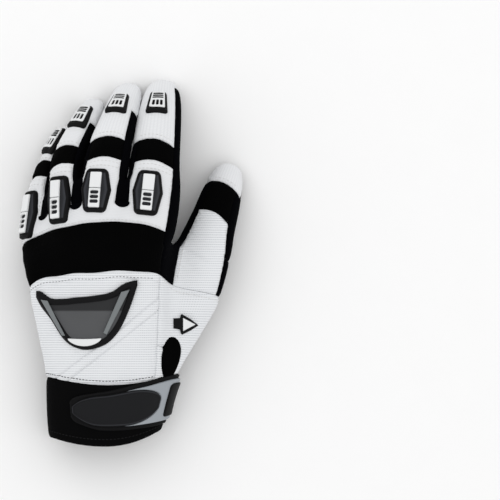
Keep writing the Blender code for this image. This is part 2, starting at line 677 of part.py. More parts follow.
# The back guard from its left horn to its right: across as a share of the palm's width, and its
# upper and lower edge along, as shares of the glove's length
BACK_GUARD = (
    (-0.415, 0.4260, 0.4080),
    (-0.380, 0.4230, 0.3800),
    (-0.325, 0.4060, 0.3480),
    (-0.250, 0.4045, 0.2960),
    (-0.180, 0.4075, 0.2720),
    (-0.095, 0.4110, 0.2650),
    (0.000, 0.4170, 0.2770),
    (0.060, 0.4260, 0.2980),
    (0.110, 0.4420, 0.3300),
    (0.160, 0.4515, 0.3800),
    (0.205, 0.4550, 0.4400),
)
# Across the guard: share of the way from its lower to its upper edge, and share of its height
GUARD_PROFILE = ((0.0, 0.35), (0.07, 0.95), (0.16, 1.0), (0.55, 1.0), (0.9, 0.9), (1.0, 0.35))
# Each inlay: the corners of its outline in the guard's plan, across and along
BACK_INLAYS = {
    "back_guard_inlay_left": ((-0.375, 0.399), (-0.345, 0.398), (-0.240, 0.305), (-0.262, 0.307)),
    "back_guard_inlay_right": ((0.120, 0.425), (0.150, 0.428), (0.020, 0.315), (0.005, 0.322)),
    "back_guard_inlay_base": ((-0.195, 0.292), (-0.010, 0.293), (-0.040, 0.281), (-0.165, 0.281)),
}


def plan_seat(skin, across, along):
    """A level seat over a point of the hand's plan."""
    origin = Vector((across * PALM_WIDTH, along * GLOVE_LENGTH, KNUCKLE_HEIGHT))
    return Seat(skin, origin, Vector((1, 0, 0)), Vector((0, 1, 0)))


def back_guard_mesh(seat, lift):
    """The shield's body, lofted from horn to horn."""
    rings = []
    for across, upper, lower in BACK_GUARD:
        places = [(across * PALM_WIDTH, (lower + (upper - lower) * share) * GLOVE_LENGTH, rise)
                  for share, rise in GUARD_PROFILE]
        top = [seat.on(x, y, lift + rise * BACK_GUARD_HEIGHT) for x, y, rise in places]
        bottom = [seat.on(x, y, lift) for x, y, _ in reversed(places)]
        rings.append(top + bottom)
    return loft("back_guard", rings)


def add_back_guard(skin, collection):
    """The shield over the back of the hand, and its three inlays."""
    seat = plan_seat(skin, 0, 0)
    guard, lift = settled(lambda lift: back_guard_mesh(seat, lift), skin.tree)
    add_object("back_guard", guard, "black_rubber", collection)
    for name, corners in BACK_INLAYS.items():
        flat = [(across * PALM_WIDTH, along * GLOVE_LENGTH) for across, along in corners]
        middle = [sum(values) / len(flat) for values in zip(*flat)]
        local = plan_seat(skin, middle[0] / PALM_WIDTH, middle[1] / GLOVE_LENGTH)
        outline = rounded([(x - middle[0], y - middle[1]) for x, y in flat], CORNER_CUT)
        inlay, _ = plate(name, local, outline, scaled_levels(INLAY_LEVELS, INLAY_HEIGHT), tree_of(guard),
                         lift + BACK_GUARD_HEIGHT)
        finish_name = "white_rubber" if name == "back_guard_inlay_base" else "grey_rubber"
        add_object(name, inlay, finish_name, collection)


# The pull tab's outline in plan, its middle first: across and along, as shares
TAB_MIDDLE = (0.500, 0.334)
TAB_OUTLINE = ((0.478, 0.307), (0.574, 0.331), (0.484, 0.361), (0.468, 0.352), (0.425, 0.354),
               (0.425, 0.320), (0.468, 0.318))
TAB_INLAY_SHARE = 0.5
TAB_LEVELS = ((1.0, 0.7), (0.85, 1.0))


def add_pull_tab(skin, collection):
    """The triangular pull tab on its stem, and the inlay in it."""
    seat = plan_seat(skin, *TAB_MIDDLE)
    outline = [((across - TAB_MIDDLE[0]) * PALM_WIDTH, (along - TAB_MIDDLE[1]) * GLOVE_LENGTH)
               for across, along in TAB_OUTLINE]
    tab, lift = plate("pull_tab", seat, outline, scaled_levels(TAB_LEVELS, TAB_HEIGHT), skin.tree)
    add_object("pull_tab", tab, "black_rubber", collection)
    inner = [(a * TAB_INLAY_SHARE, b * TAB_INLAY_SHARE) for a, b in outline[:3]]
    inlay, _ = plate("pull_tab_inlay", seat, rounded(inner, CORNER_CUT),
                     scaled_levels(INLAY_LEVELS, INLAY_HEIGHT), tree_of(tab), lift + TAB_HEIGHT)
    add_object("pull_tab_inlay", inlay, "white_rubber", collection)


# The strap round the wrist: turn in degrees from the thumb side over the back, and its edges along,
# as shares of the glove's length
STRAP = (
    (139, 0.085, 0.121),
    (134, 0.068, 0.134),
    (124, 0.058, 0.141),
    (112, 0.050, 0.145),
    (100, 0.045, 0.149),
    (88, 0.044, 0.152),
    (76, 0.044, 0.157),
    (64, 0.045, 0.163),
    (52, 0.047, 0.170),
    (40, 0.050, 0.178),
    (28, 0.054, 0.188),
    (14, 0.060, 0.198),
    (0, 0.066, 0.200),
    (-14, 0.072, 0.200),
    (-26, 0.076, 0.198),
)
# Height of the middle that the strap turns about, as a share of the wrist's depth
WRAP_HEIGHT = 0.45


def wrap_point(skin, turn, along, lift):
    """A point round the wrist at a turn, lifted off the skin."""
    middle = Vector((WRIST_ROWS[1][0] * PALM_WIDTH, along * GLOVE_LENGTH, WRAP_HEIGHT * WRIST_DEPTH))
    outward = Vector((math.cos(math.radians(turn)), 0, math.sin(math.radians(turn))))
    return skin.hit(middle + outward * WRIST_WIDTH, -outward) + outward * lift


def wrapped(skin, name, rows, profile, height, under, base=0.0):
    """A band wrapped round the wrist, and its lift: rows give its turn and edges, and profile its
    height across."""
    def build(lift):
        rings = []
        for turn, lower, upper in rows:
            alongs = [lower + (upper - lower) * share for share, _ in profile]
            top = [wrap_point(skin, turn, along, lift + rise * height)
                   for along, (_, rise) in zip(alongs, profile)]
            bottom = [wrap_point(skin, turn, along, lift) for along in reversed(alongs)]
            rings.append(top + bottom)
        return loft(name, rings)
    return settled(build, under, base)


def strap_edges(turn):
    """The strap's lower and upper edge at a turn."""
    turns, lowers, uppers = zip(*reversed(STRAP))
    return float(np.interp(turn, turns, lowers)), float(np.interp(turn, turns, uppers))


def strap_part(turns, insets):
    """Rows of a piece on the strap: at each turn the strap's edges, drawn in by a share of its width."""
    rows = []
    for turn, inset in zip(turns, insets):
        lower, upper = strap_edges(turn)
        span = upper - lower
        rows.append((turn, lower + inset * span, upper - inset * span))
    return rows


SHIELD_TURNS = (132, 124, 112, 100, 88, 76, 64, 54, 48)
SHIELD_INSETS = (0.34, 0.16, 0.10, 0.09, 0.09, 0.09, 0.10, 0.17, 0.30)
WING_TURNS = (41, 30, 20, 10, 0, -8)
WING_INSETS = (0.10, 0.06, 0.06, 0.07, 0.08, 0.12)
INSET_TURNS = (19, 14, 8, 2)
INSET_INSETS = (0.26, 0.22, 0.22, 0.26)
# Across a band: share of the way from its lower to its upper edge, and share of its height
FLAT_PROFILE = ((0.0, 1.0), (0.25, 1.0), (0.5, 1.0), (0.75, 1.0), (1.0, 1.0))
RAISED_PROFILE = ((0.0, 0.55), (0.16, 1.0), (0.5, 1.0), (0.84, 1.0), (1.0, 0.55))


def add_strap(skin, collection):
    """The wrist strap, the moulded field on it, the wing round its end and the inset in the wing."""
    strap, strap_lift = wrapped(skin, "strap", STRAP, FLAT_PROFILE, STRAP_THICKNESS, skin.tree)
    add_object("strap", strap, "black_elastic", collection)
    over = strap_lift + STRAP_THICKNESS
    shield, _ = wrapped(skin, "strap_shield", strap_part(SHIELD_TURNS, SHIELD_INSETS), RAISED_PROFILE,
                        SHIELD_HEIGHT, tree_of(strap), over)
    add_object("strap_shield", shield, "black_rubber", collection)
    wing, wing_lift = wrapped(skin, "strap_wing", strap_part(WING_TURNS, WING_INSETS), RAISED_PROFILE,
                              WING_HEIGHT, tree_of(strap), over)
    add_object("strap_wing", wing, "light_grey_rubber", collection)
    inset, _ = wrapped(skin, "strap_inset", strap_part(INSET_TURNS, INSET_INSETS), RAISED_PROFILE,
                       INLAY_HEIGHT, tree_of(wing), wing_lift + WING_HEIGHT)
    add_object("strap_inset", inset, "black_rubber", collection)


def centre_on_origin(collection):
    """Move everything so that the origin lies under the middle of the glove, on the floor."""
    places = np.array([v.co for thing in collection.objects for v in thing.data.vertices])
    low, high = places.min(axis=0), places.max(axis=0)
    shift = Vector((-(low[0] + high[0]) / 2, -(low[1] + high[1]) / 2, -low[2]))
    for thing in collection.objects:
        for vertex in thing.data.vertices:
            vertex.co += shift


def main():
    """Build the glove: its cloth panels, then the moulded pieces that sit on them."""
    clear_scene()
    collection = bpy.data.collections.new("motorcycle_glove")
    bpy.context.scene.collection.children.link(collection)
    skin = Skin()
    for name, (_, finish_name) in PANELS.items():
        add_object(name, skin.panel_mesh(name), finish_name, collection)
    add_finger_guards(skin, collection)
    add_back_guard(skin, collection)
    add_pull_tab(skin, collection)
    add_strap(skin, collection)
    centre_on_origin(collection)


main()
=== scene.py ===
"""A left-hand motorcycle glove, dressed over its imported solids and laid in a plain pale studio.

+X points to the thumb, +Y to the fingertips and +Z away from the floor. Every length is in metres.
"""
import logging
import math
from collections.abc import Callable
from dataclasses import dataclass, field
from enum import Enum

import bpy
import numpy as np
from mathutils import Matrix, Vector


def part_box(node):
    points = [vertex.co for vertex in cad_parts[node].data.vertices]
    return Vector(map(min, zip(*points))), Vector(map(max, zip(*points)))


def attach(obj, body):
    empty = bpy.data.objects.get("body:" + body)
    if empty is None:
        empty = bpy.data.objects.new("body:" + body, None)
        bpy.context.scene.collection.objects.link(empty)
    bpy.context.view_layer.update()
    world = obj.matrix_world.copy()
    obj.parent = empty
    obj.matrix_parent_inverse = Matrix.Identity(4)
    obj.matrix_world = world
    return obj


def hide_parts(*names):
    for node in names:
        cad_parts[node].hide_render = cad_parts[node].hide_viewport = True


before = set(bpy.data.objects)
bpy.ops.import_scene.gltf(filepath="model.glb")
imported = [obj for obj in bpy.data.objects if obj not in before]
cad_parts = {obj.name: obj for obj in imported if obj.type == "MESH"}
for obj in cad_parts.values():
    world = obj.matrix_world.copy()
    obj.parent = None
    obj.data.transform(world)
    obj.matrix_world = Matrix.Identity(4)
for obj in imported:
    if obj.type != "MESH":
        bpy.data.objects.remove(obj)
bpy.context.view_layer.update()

Array = np.ndarray
# An edge of a moulded piece on its chart, from a share of its length; and a value over the piece's grid
Edge = Callable[[Array], tuple[Array, Array]]
Shape = Callable[[Array, Array, Array, Array], Array]
log = logging.getLogger("glove")

# Corners of a digit's ring, in the order that goes from its left side over its back
TOP_LEFT, TOP, TOP_RIGHT, RIGHT, LOW_RIGHT, LOW, LOW_LEFT, LEFT = range(8)
LITTLE, RING, MIDDLE, INDEX, THUMB = range(5)
DIGIT_NAMES = ("little", "ring", "middle", "index", "thumb")
# Rows of corners from the cuff's mouth on, at which panels or digits part
WRIST_ROW, BACK_SEAM_ROW, THUMB_CROTCH_ROW, STRETCH_SEAM_ROW, FINGER_CROTCH_ROW = 2, 5, 6, 7, 9
# Columns between two fingers, with the walls that rise from them
BETWEEN_FINGERS = {3: "fourchette_ring_little", 6: "fourchette_middle_ring", 9: "fourchette_index_middle"}
SIDE_COLUMN, THUMB_COLUMN, PALM_COLUMN = 12, 13, 16
ACROSS, ALONG = np.eye(3)[:2]
LEVEL = 4


# Curves and surfaces


def eased(keys: Array, places: Array) -> tuple[Array, Array]:
    """A smooth curve through rows of keys, read at places between them.

    Formula: on each span the cubic Hermite blend of its two rows, with slopes taken from the rows on
    either side and, at the two ends, half as much again of the last span's own slope.

    Args:
        keys: One row of values for each whole place.
        places: Where to read the curve.

    Returns:
        The values and their slopes, one row for each place.
    """
    last = len(keys) - 1
    slopes = np.gradient(keys, axis=0)
    slopes[0] = 1.5 * (keys[1] - keys[0]) - 0.5 * slopes[1]
    slopes[-1] = 1.5 * (keys[-1] - keys[-2]) - 0.5 * slopes[-2]
    start = np.clip(np.floor(places).astype(int), 0, last - 1)
    share = (places - start)[:, None]
    square, cube = share ** 2, share ** 3
    low, high, low_slope, high_slope = keys[start], keys[start + 1], slopes[start], slopes[start + 1]
    value = ((2 * cube - 3 * square + 1) * low + (cube - 2 * square + share) * low_slope
             + (3 * square - 2 * cube) * high + (cube - square) * high_slope)
    slope = ((6 * square - 6 * share) * (low - high) + (3 * square - 4 * share + 1) * low_slope
             + (3 * square - 2 * share) * high_slope)
    return value, slope


def smooth_step(value: Array, low: float, high: float) -> Array:
    """From 0 at low to 1 at high, level at both ends: 3 s squared less 2 s cubed."""
    share = np.clip((value - low) / (high - low), 0.0, 1.0)
    return share * share * (3 - 2 * share)


def crowded(count: int, crowd: float) -> Array:
    """Places from 0 to 1 that lie closer together at both ends: an even spread mixed with a cosine one."""
    even = np.linspace(0.0, 1.0, count)
    return (1 - crowd) * even + crowd * 0.5 * (1 - np.cos(np.pi * even))


def unit(vectors: Array) -> Array:
    """The same directions with length one."""
    return vectors / np.maximum(np.linalg.norm(vectors, axis=-1, keepdims=True), 1e-12)


def grid_quads(rows: int, columns: int) -> Array:
    """The faces of a grid of points that is stored row by row."""
    corner = np.arange(rows * columns).reshape(rows, columns)
    return np.stack([corner[:-1, :-1], corner[:-1, 1:], corner[1:, 1:], corner[1:, :-1]], -1).reshape(-1, 4)


def rim_edges(quads: Array) -> Array:
    """The directed edges that only one face has."""
    edges = np.stack([quads, np.roll(quads, -1, axis=1)], -1).reshape(-1, 2)
    size = int(quads.max()) + 1
    return edges[~np.isin(edges[:, 0] * size + edges[:, 1], edges[:, 1] * size + edges[:, 0])]


def distances(points: Array, others: Array) -> Array:
    """How far each point lies from the nearest of the others.

    Formula: the root of the least expanded square of the difference, reckoned in millimetres.
    """
    points, others = points * 1000, others * 1000
    nearest = []
    for block in np.array_split(points, max(1, len(points) // 4000)):
        squares = (block ** 2).sum(1)[:, None] + (others ** 2).sum(1) - 2 * block @ others.T
        nearest.append(squares.min(axis=1))
    return np.sqrt(np.maximum(np.concatenate(nearest), 0.0)) / 1000


def facing_out(points: Array, quads: Array) -> Array:
    """A closed body's faces, all turned over where its signed volume is below zero."""
    first, second, third, fourth = (points[quads[:, corner]] for corner in range(4))
    volume = (first * np.cross(second, third)).sum() + (first * np.cross(third, fourth)).sum()
    return quads if volume > 0 else quads[:, ::-1]


def add_piece(name: str, points: Array, quads: Array, finish: "Finish", pattern: Array | None = None,
              sharp: float = 40.0) -> bpy.types.Object:
    """Put a mesh in the scene as one piece of the glove.

    Args:
        name: The piece's name.
        points: Its vertices.
        quads: Its faces.
        finish: What it is made of.
        pattern: Where each vertex lies on the cloth, if its weave follows the surface.
        sharp: The angle in degrees past which an edge is drawn crisp.

    Returns:
        The new object, which rides on the glove.
    """
    mesh = bpy.data.meshes.new(name)
    mesh.from_pydata(points.tolist(), [], quads.tolist())
    if pattern is not None:
        corners = np.empty(len(mesh.loops), int)
        mesh.loops.foreach_get("vertex_index", corners)
        mesh.uv_layers.new(name="cloth").data.foreach_set("uv", pattern[corners].ravel())
    mesh.materials.append(finish.material())
    mesh.shade_smooth()
    mesh.set_sharp_from_angle(angle=math.radians(sharp))
    piece = bpy.data.objects.new(name, mesh)
    bpy.context.scene.collection.objects.link(piece)
    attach(piece, "root")
    log.info("%s: %d faces", name, len(quads))
    return piece


# Finishes


class Nodes:
    """Makes and joins the nodes of one shader tree."""

    def __init__(self, tree: bpy.types.NodeTree) -> None:
        self.tree = tree

    def add(self, kind: str, values: dict | None = None, **settings: object) -> bpy.types.Node:
        """A node with its settings, and its inputs given values or joined to other nodes' outputs."""
        node = self.tree.nodes.new(kind)
        for key, value in settings.items():
            setattr(node, key, value)
        return self.feed(node, values or {})

    def feed(self, node: bpy.types.Node, values: dict) -> bpy.types.Node:
        """Give a node's inputs values, or join them to other nodes' outputs."""
        for key, value in values.items():
            if isinstance(value, bpy.types.NodeSocket):
                self.tree.links.new(value, node.inputs[key])
            else:
                node.inputs[key].default_value = value
        return node

    def math(self, operation: str, *values: object) -> bpy.types.NodeSocket:
        """The result of one sum on numbers or outputs."""
        return self.add("ShaderNodeMath", dict(enumerate(values)), operation=operation).outputs[0]

    def mix(self, share: object, first: object, second: object) -> bpy.types.NodeSocket:
        """A colour between two."""
        return self.add("ShaderNodeMix", {0: share, 6: first, 7: second}, data_type="RGBA").outputs[2]


def pattern_group(name: str, inputs: dict[str, float], outputs: tuple[str, ...],
                  fill: Callable[[Nodes, bpy.types.Node], dict[str, bpy.types.NodeSocket]]
                  ) -> bpy.types.NodeTree:
    """A shader node group that is built once and placed in each material with its own values.

    Args:
        name: The group's name.
        inputs: Its number inputs with their defaults; a Vector comes before them.
        outputs: Its number outputs.
        fill: Makes the nodes and says what each output is.

    Returns:
        The group.
    """
    group = bpy.data.node_groups.get(name)
    if group:
        return group
    group = bpy.data.node_groups.new(name, "ShaderNodeTree")
    group.interface.new_socket("Vector", in_out="INPUT", socket_type="NodeSocketVector")
    for key, value in inputs.items():
        socket = group.interface.new_socket(key, in_out="INPUT", socket_type="NodeSocketFloat")
        socket.default_value = value
    for key in outputs:
        group.interface.new_socket(key, in_out="OUTPUT", socket_type="NodeSocketFloat")
    nodes = Nodes(group)
    entry, end = nodes.add("NodeGroupInput"), nodes.add("NodeGroupOutput")
    for key, socket in fill(nodes, entry).items():
        group.links.new(socket, end.inputs[key])
    return group


def weave_group() -> bpy.types.NodeTree:
    """Threads over and under: the size of sin(across) times sin(along), and where the warp lies on top."""
    def fill(nodes: Nodes, entry: bpy.types.Node) -> dict[str, bpy.types.NodeSocket]:
        split = nodes.add("ShaderNodeSeparateXYZ", {0: entry.outputs["Vector"]})
        across = nodes.math("SINE", nodes.math("MULTIPLY", split.outputs[0], entry.outputs["Across"]))
        along = nodes.math("SINE", nodes.math("MULTIPLY", split.outputs[1], entry.outputs["Along"]))
        both = nodes.math("MULTIPLY", across, along)
        return {"Height": nodes.math("ABSOLUTE", both), "Warp": nodes.math("MULTIPLY_ADD", both, 0.5, 0.5)}
    return pattern_group("thread_weave", {"Across": 5000.0, "Along": 5000.0}, ("Height", "Warp"), fill)


def grain_group() -> bpy.types.NodeTree:
    """Pebbled grain: cells of a Voronoi pattern with fine noise over them, and a slow drift for colour."""
    def fill(nodes: Nodes, entry: bpy.types.Node) -> dict[str, bpy.types.NodeSocket]:
        place, scale = entry.outputs["Vector"], entry.outputs["Scale"]
        cells = nodes.add("ShaderNodeTexVoronoi", {"Vector": place, "Scale": scale}, feature="SMOOTH_F1")
        fine = nodes.add("ShaderNodeTexNoise", {"Vector": place, "Scale": nodes.math("MULTIPLY", scale, 2.7),
                                                "Detail": 4.0})
        drift = nodes.add("ShaderNodeTexNoise", {"Vector": place, "Scale": entry.outputs["Drift"],
                                                 "Detail": 3.0})
        height = nodes.math("MULTIPLY_ADD", fine.outputs[0], 0.45, cells.outputs["Distance"])
        return {"Height": height, "Mask": drift.outputs[0]}
    return pattern_group("pebbled_grain", {"Scale": 1500.0, "Drift": 40.0}, ("Height", "Mask"), fill)


@dataclass(frozen=True)
class Finish:
    """What every finish has: a name, a slot, a colour, a second colour for random tone and painted light, and
    its gloss.
    """

    name: str
    slot: str
    colour: tuple[float, float, float]
    # The second colour: a random mottle on grained finishes, painted shade in the cloths' thread gaps and rib
    # valleys, and on toned rubber a second tone that is painted highlight on the knuckle guards and the strap
    # field's rim
    second_tone_and_painted_light: tuple[float, float, float]
    roughness: float = 0.6
    shine: float = 0.25

    def material(self) -> bpy.types.Material:
        """The finish's material, made on its first use."""
        made = bpy.data.materials.get(self.name)
        if made:
            return made
        made = bpy.data.materials.new(self.name)
        made.use_nodes = True
        nodes = Nodes(made.node_tree)
        shader = made.node_tree.nodes["Principled BSDF"]
        self.dress(nodes, shader)
        shader.inputs["Specular IOR Level"].default_value = self.shine
        return made

    def dress(self, nodes: Nodes, shader: bpy.types.Node) -> None:
        """Join the finish's pattern to its shader."""
        raise NotImplementedError

    @staticmethod
    def grain(nodes: Nodes, coordinates: bpy.types.Node, scale: float, drift: float) -> bpy.types.Node:
        """The shared grain, fixed to the object, with cells and drift of these sizes."""
        return nodes.add("ShaderNodeGroup", {"Vector": coordinates.outputs["Object"], "Scale": scale,
                                             "Drift": drift}, node_tree=grain_group())

    def join(self, nodes: Nodes, shader: bpy.types.Node, share: object, height: object, depth: float,
             gloss: object) -> None:
        """Colour between the finish's two, its gloss and its relief, into the shader."""
        colour = nodes.mix(share, (*self.colour, 1.0), (*self.second_tone_and_painted_light, 1.0))
        bump = nodes.add("ShaderNodeBump", {"Strength": 0.7, "Distance": depth, "Height": height})
        nodes.feed(shader, {"Base Color": colour, "Roughness": gloss, "Normal": bump.outputs[0]})


@dataclass(frozen=True)
class ClothFinish(Finish):
    """A woven or knitted cloth whose threads follow the surface."""

    across: float = 0.0007
    along: float = 0.0007
    depth: float = 0.00012
    sheen: float = 0.2
    # How far the painted shade in the thread gaps reaches towards the second colour
    shading: float = 0.55

    def dress(self, nodes: Nodes, shader: bpy.types.Node) -> None:
        """Threads of this width each way, with painted shade in their gaps, and a slow drift of colour."""
        coordinates = nodes.add("ShaderNodeTexCoord")
        weave = nodes.add("ShaderNodeGroup", {
            "Vector": coordinates.outputs["UV"], "Across": math.pi / self.across,
            "Along": math.pi / self.along}, node_tree=weave_group())
        drift = self.grain(nodes, coordinates, 2500.0, 55.0)
        # Painted shade: the colour darkens in the gaps between threads, by an amount that drifts at random
        gaps = nodes.math("SUBTRACT", 1.0, weave.outputs["Height"])
        share = nodes.math("MULTIPLY", nodes.math("MULTIPLY", gaps, self.shading),
                           nodes.math("ADD", 0.45, drift.outputs["Mask"]))
        height = nodes.math("MULTIPLY_ADD", drift.outputs["Height"], 0.2, weave.outputs["Height"])
        gloss = nodes.math("MULTIPLY_ADD", drift.outputs["Mask"], 0.12, self.roughness - 0.06)
        self.join(nodes, shader, share, height, self.depth, gloss)
        shader.inputs["Sheen Weight"].default_value = self.sheen
        shader.inputs["Sheen Roughness"].default_value = 0.4


@dataclass(frozen=True)
class RibbedFinish(Finish):
    """Ribbed mesh cloth: bright ribs, and between them valleys with painted shade, darkest at a row of small
    holes whose darkness is painted shade too.
    """

    pitch: float = 0.0015
    hole: float = 0.0011
    depth: float = 0.00010

    def dress(self, nodes: Nodes, shader: bpy.types.Node) -> None:
        """The valley is one less the size of sin(pi along / pitch); holes repeat across it."""
        coordinates = nodes.add("ShaderNodeTexCoord")
        split = nodes.add("ShaderNodeSeparateXYZ", {0: coordinates.outputs["UV"]})
        rib = nodes.math("ABSOLUTE", nodes.math("SINE", nodes.math("MULTIPLY", split.outputs[1],
                                                                   math.pi / self.pitch)))
        # Painted shade: the colour darkens in the valleys between the ribs, most where the holes repeat
        # across them, and drifts at random
        valley = nodes.math("POWER", nodes.math("SUBTRACT", 1.0, rib), 2.2)
        holes = nodes.math("MULTIPLY_ADD", nodes.math("SINE", nodes.math(
            "MULTIPLY", split.outputs[0], math.tau / self.hole)), 0.5, 0.5)
        drift = self.grain(nodes, coordinates, 2200.0, 45.0)
        share = nodes.math("MULTIPLY", valley, nodes.math("MULTIPLY_ADD", holes, 0.65, 0.30))
        share = nodes.math("MULTIPLY", share, nodes.math("ADD", 0.5, drift.outputs["Mask"]))
        height = nodes.math("MULTIPLY_ADD", drift.outputs["Height"], 0.35, nodes.math("SUBTRACT", 1.0, share))
        gloss = nodes.math("MULTIPLY_ADD", drift.outputs["Mask"], 0.1, self.roughness - 0.05)
        self.join(nodes, shader, share, height, self.depth, gloss)
        shader.inputs["Sheen Weight"].default_value = 0.12


@dataclass(frozen=True)
class GrainFinish(Finish):
    """A material with a pebbled or napped surface and no threads: leather, suede, foam or rubber."""

    scale: float = 1500.0
    drift: float = 40.0
    depth: float = 0.00008
    patchy: float = 0.35

    def dress(self, nodes: Nodes, shader: bpy.types.Node) -> None:
        """The grain raises and glosses the surface, and its slow drift varies the colour."""
        coordinates = nodes.add("ShaderNodeTexCoord")
        grain = self.grain(nodes, coordinates, self.scale, self.drift)
        share = nodes.math("MULTIPLY", nodes.math("POWER", grain.outputs["Mask"], 2.0), 2.0 * self.patchy)
        gloss = nodes.math("MULTIPLY_ADD", grain.outputs["Mask"], 0.24, self.roughness - 0.12)
        self.join(nodes, shader, share, grain.outputs["Height"], self.depth, gloss)


@dataclass(frozen=True)
class TonedFinish(GrainFinish):
    """Moulded rubber in two tones: its colour where the first cloth coordinate is 0, the second colour at 1,
    which on some pieces is painted highlight.
    """

    toned_roughness: float = 0.35

    def dress(self, nodes: Nodes, shader: bpy.types.Node) -> None:
        """The tone picks the colour and the gloss, and the grain's drift varies both."""
        coordinates = nodes.add("ShaderNodeTexCoord")
        tone = nodes.add("ShaderNodeSeparateXYZ", {0: coordinates.outputs["UV"]}).outputs[0]
        grain = self.grain(nodes, coordinates, self.scale, self.drift)
        patches = nodes.math("MULTIPLY_ADD", grain.outputs["Mask"], self.patchy, 0.82)
        # Where the tone is 1 the second colour shows: painted highlight on the knuckle guards' facets and the
        # strap field's rim, and a second tone on the back guard
        share = nodes.math("MULTIPLY", tone, patches)
        gloss = nodes.math("MULTIPLY_ADD", tone, self.toned_roughness - self.roughness, self.roughness)
        gloss = nodes.math("MULTIPLY_ADD", grain.outputs["Mask"], 0.12, gloss)
        self.join(nodes, shader, share, grain.outputs["Height"], self.depth, gloss)


# The cloths' darker second colour is painted shade in their thread gaps and rib valleys
RIBBED_MESH = RibbedFinish("white_ribbed_mesh", "mesh", (0.80, 0.815, 0.835), (0.30, 0.32, 0.35), 0.62)
KNIT = ClothFinish("white_knit", "leather", (0.80, 0.81, 0.825), (0.52, 0.53, 0.555), 0.6,
                   across=0.0005, along=0.0011, depth=0.00008, shading=0.30)
ELASTIC = ClothFinish("black_elastic", "elastic", (0.0014, 0.0014, 0.0015), (0.0006, 0.0006, 0.0006), 0.80,
                      0.018, across=0.0012, along=0.0005, depth=0.00014, sheen=0.0, shading=0.8)
STRAP_WEB = GrainFinish("strap_web", "elastic", (0.0045, 0.0045, 0.0050), (0.0080, 0.0080, 0.0080), 0.7, 0.08,
                        scale=3000.0, depth=0.00008)
SUEDE = GrainFinish("black_suede", "suede", (0.0009, 0.0009, 0.0014), (0.0024, 0.0024, 0.0036), 0.9, 0.018,
                    scale=3200.0, drift=120.0, depth=0.00010)
NEOPRENE = GrainFinish("black_neoprene", "neoprene", (0.0018, 0.0018, 0.0020), (0.0036, 0.0036, 0.0036), 0.85,
                       0.03, scale=2600.0, drift=60.0)
# Black moulding's lighter second colour is painted highlight where a piece's tone reaches it
BLACK_RUBBER = TonedFinish("black_moulding", "black_rubber", (0.0040, 0.0040, 0.0044), (0.036, 0.038, 0.044),
                           0.52, 0.10, scale=2800.0, depth=0.00003)
FIELD_RUBBER = TonedFinish("field_rubber", "black_rubber", (0.0045, 0.0045, 0.005), (0.090, 0.092, 0.096),
                           0.50, 0.10, scale=2800.0, depth=0.00003, toned_roughness=0.42)
GREY_RUBBER = GrainFinish("grey_moulding", "grey_rubber", (0.185, 0.20, 0.205), (0.14, 0.15, 0.155), 0.46,
                          scale=2800.0, depth=0.00003)
PALE_RUBBER = GrainFinish("pale_moulding", "light_grey_rubber", (0.33, 0.355, 0.385), (0.26, 0.28, 0.30),
                          0.46, scale=2800.0, depth=0.00003)
WHITE_RUBBER = GrainFinish("white_moulding", "white_rubber", (0.80, 0.81, 0.815), (0.68, 0.69, 0.70), 0.42,
                           scale=2800.0, depth=0.00003)
WHITE_THREAD = GrainFinish("white_thread", "leather", (0.74, 0.74, 0.73), (0.45, 0.45, 0.45), 0.6,
                           scale=4000.0)
GREY_THREAD = GrainFinish("grey_thread", "mesh", (0.16, 0.16, 0.17), (0.05, 0.05, 0.05), 0.7, scale=4000.0)
BLACK_THREAD = GrainFinish("black_thread", "elastic", (0.010, 0.010, 0.011), (0.02, 0.02, 0.02), 0.7, 0.1,
                           scale=4000.0)
INK_THREAD = GrainFinish("ink_thread", "mesh", (0.012, 0.012, 0.014), (0.03, 0.03, 0.03), 0.7, 0.1,
                         scale=4000.0)


# The hand form


@dataclass
class Sheet:
    """A face of cloth: its points, their outward directions, its quads, and columns and rows on the form."""

    points: Array
    normals: Array
    quads: Array
    lattice: Array


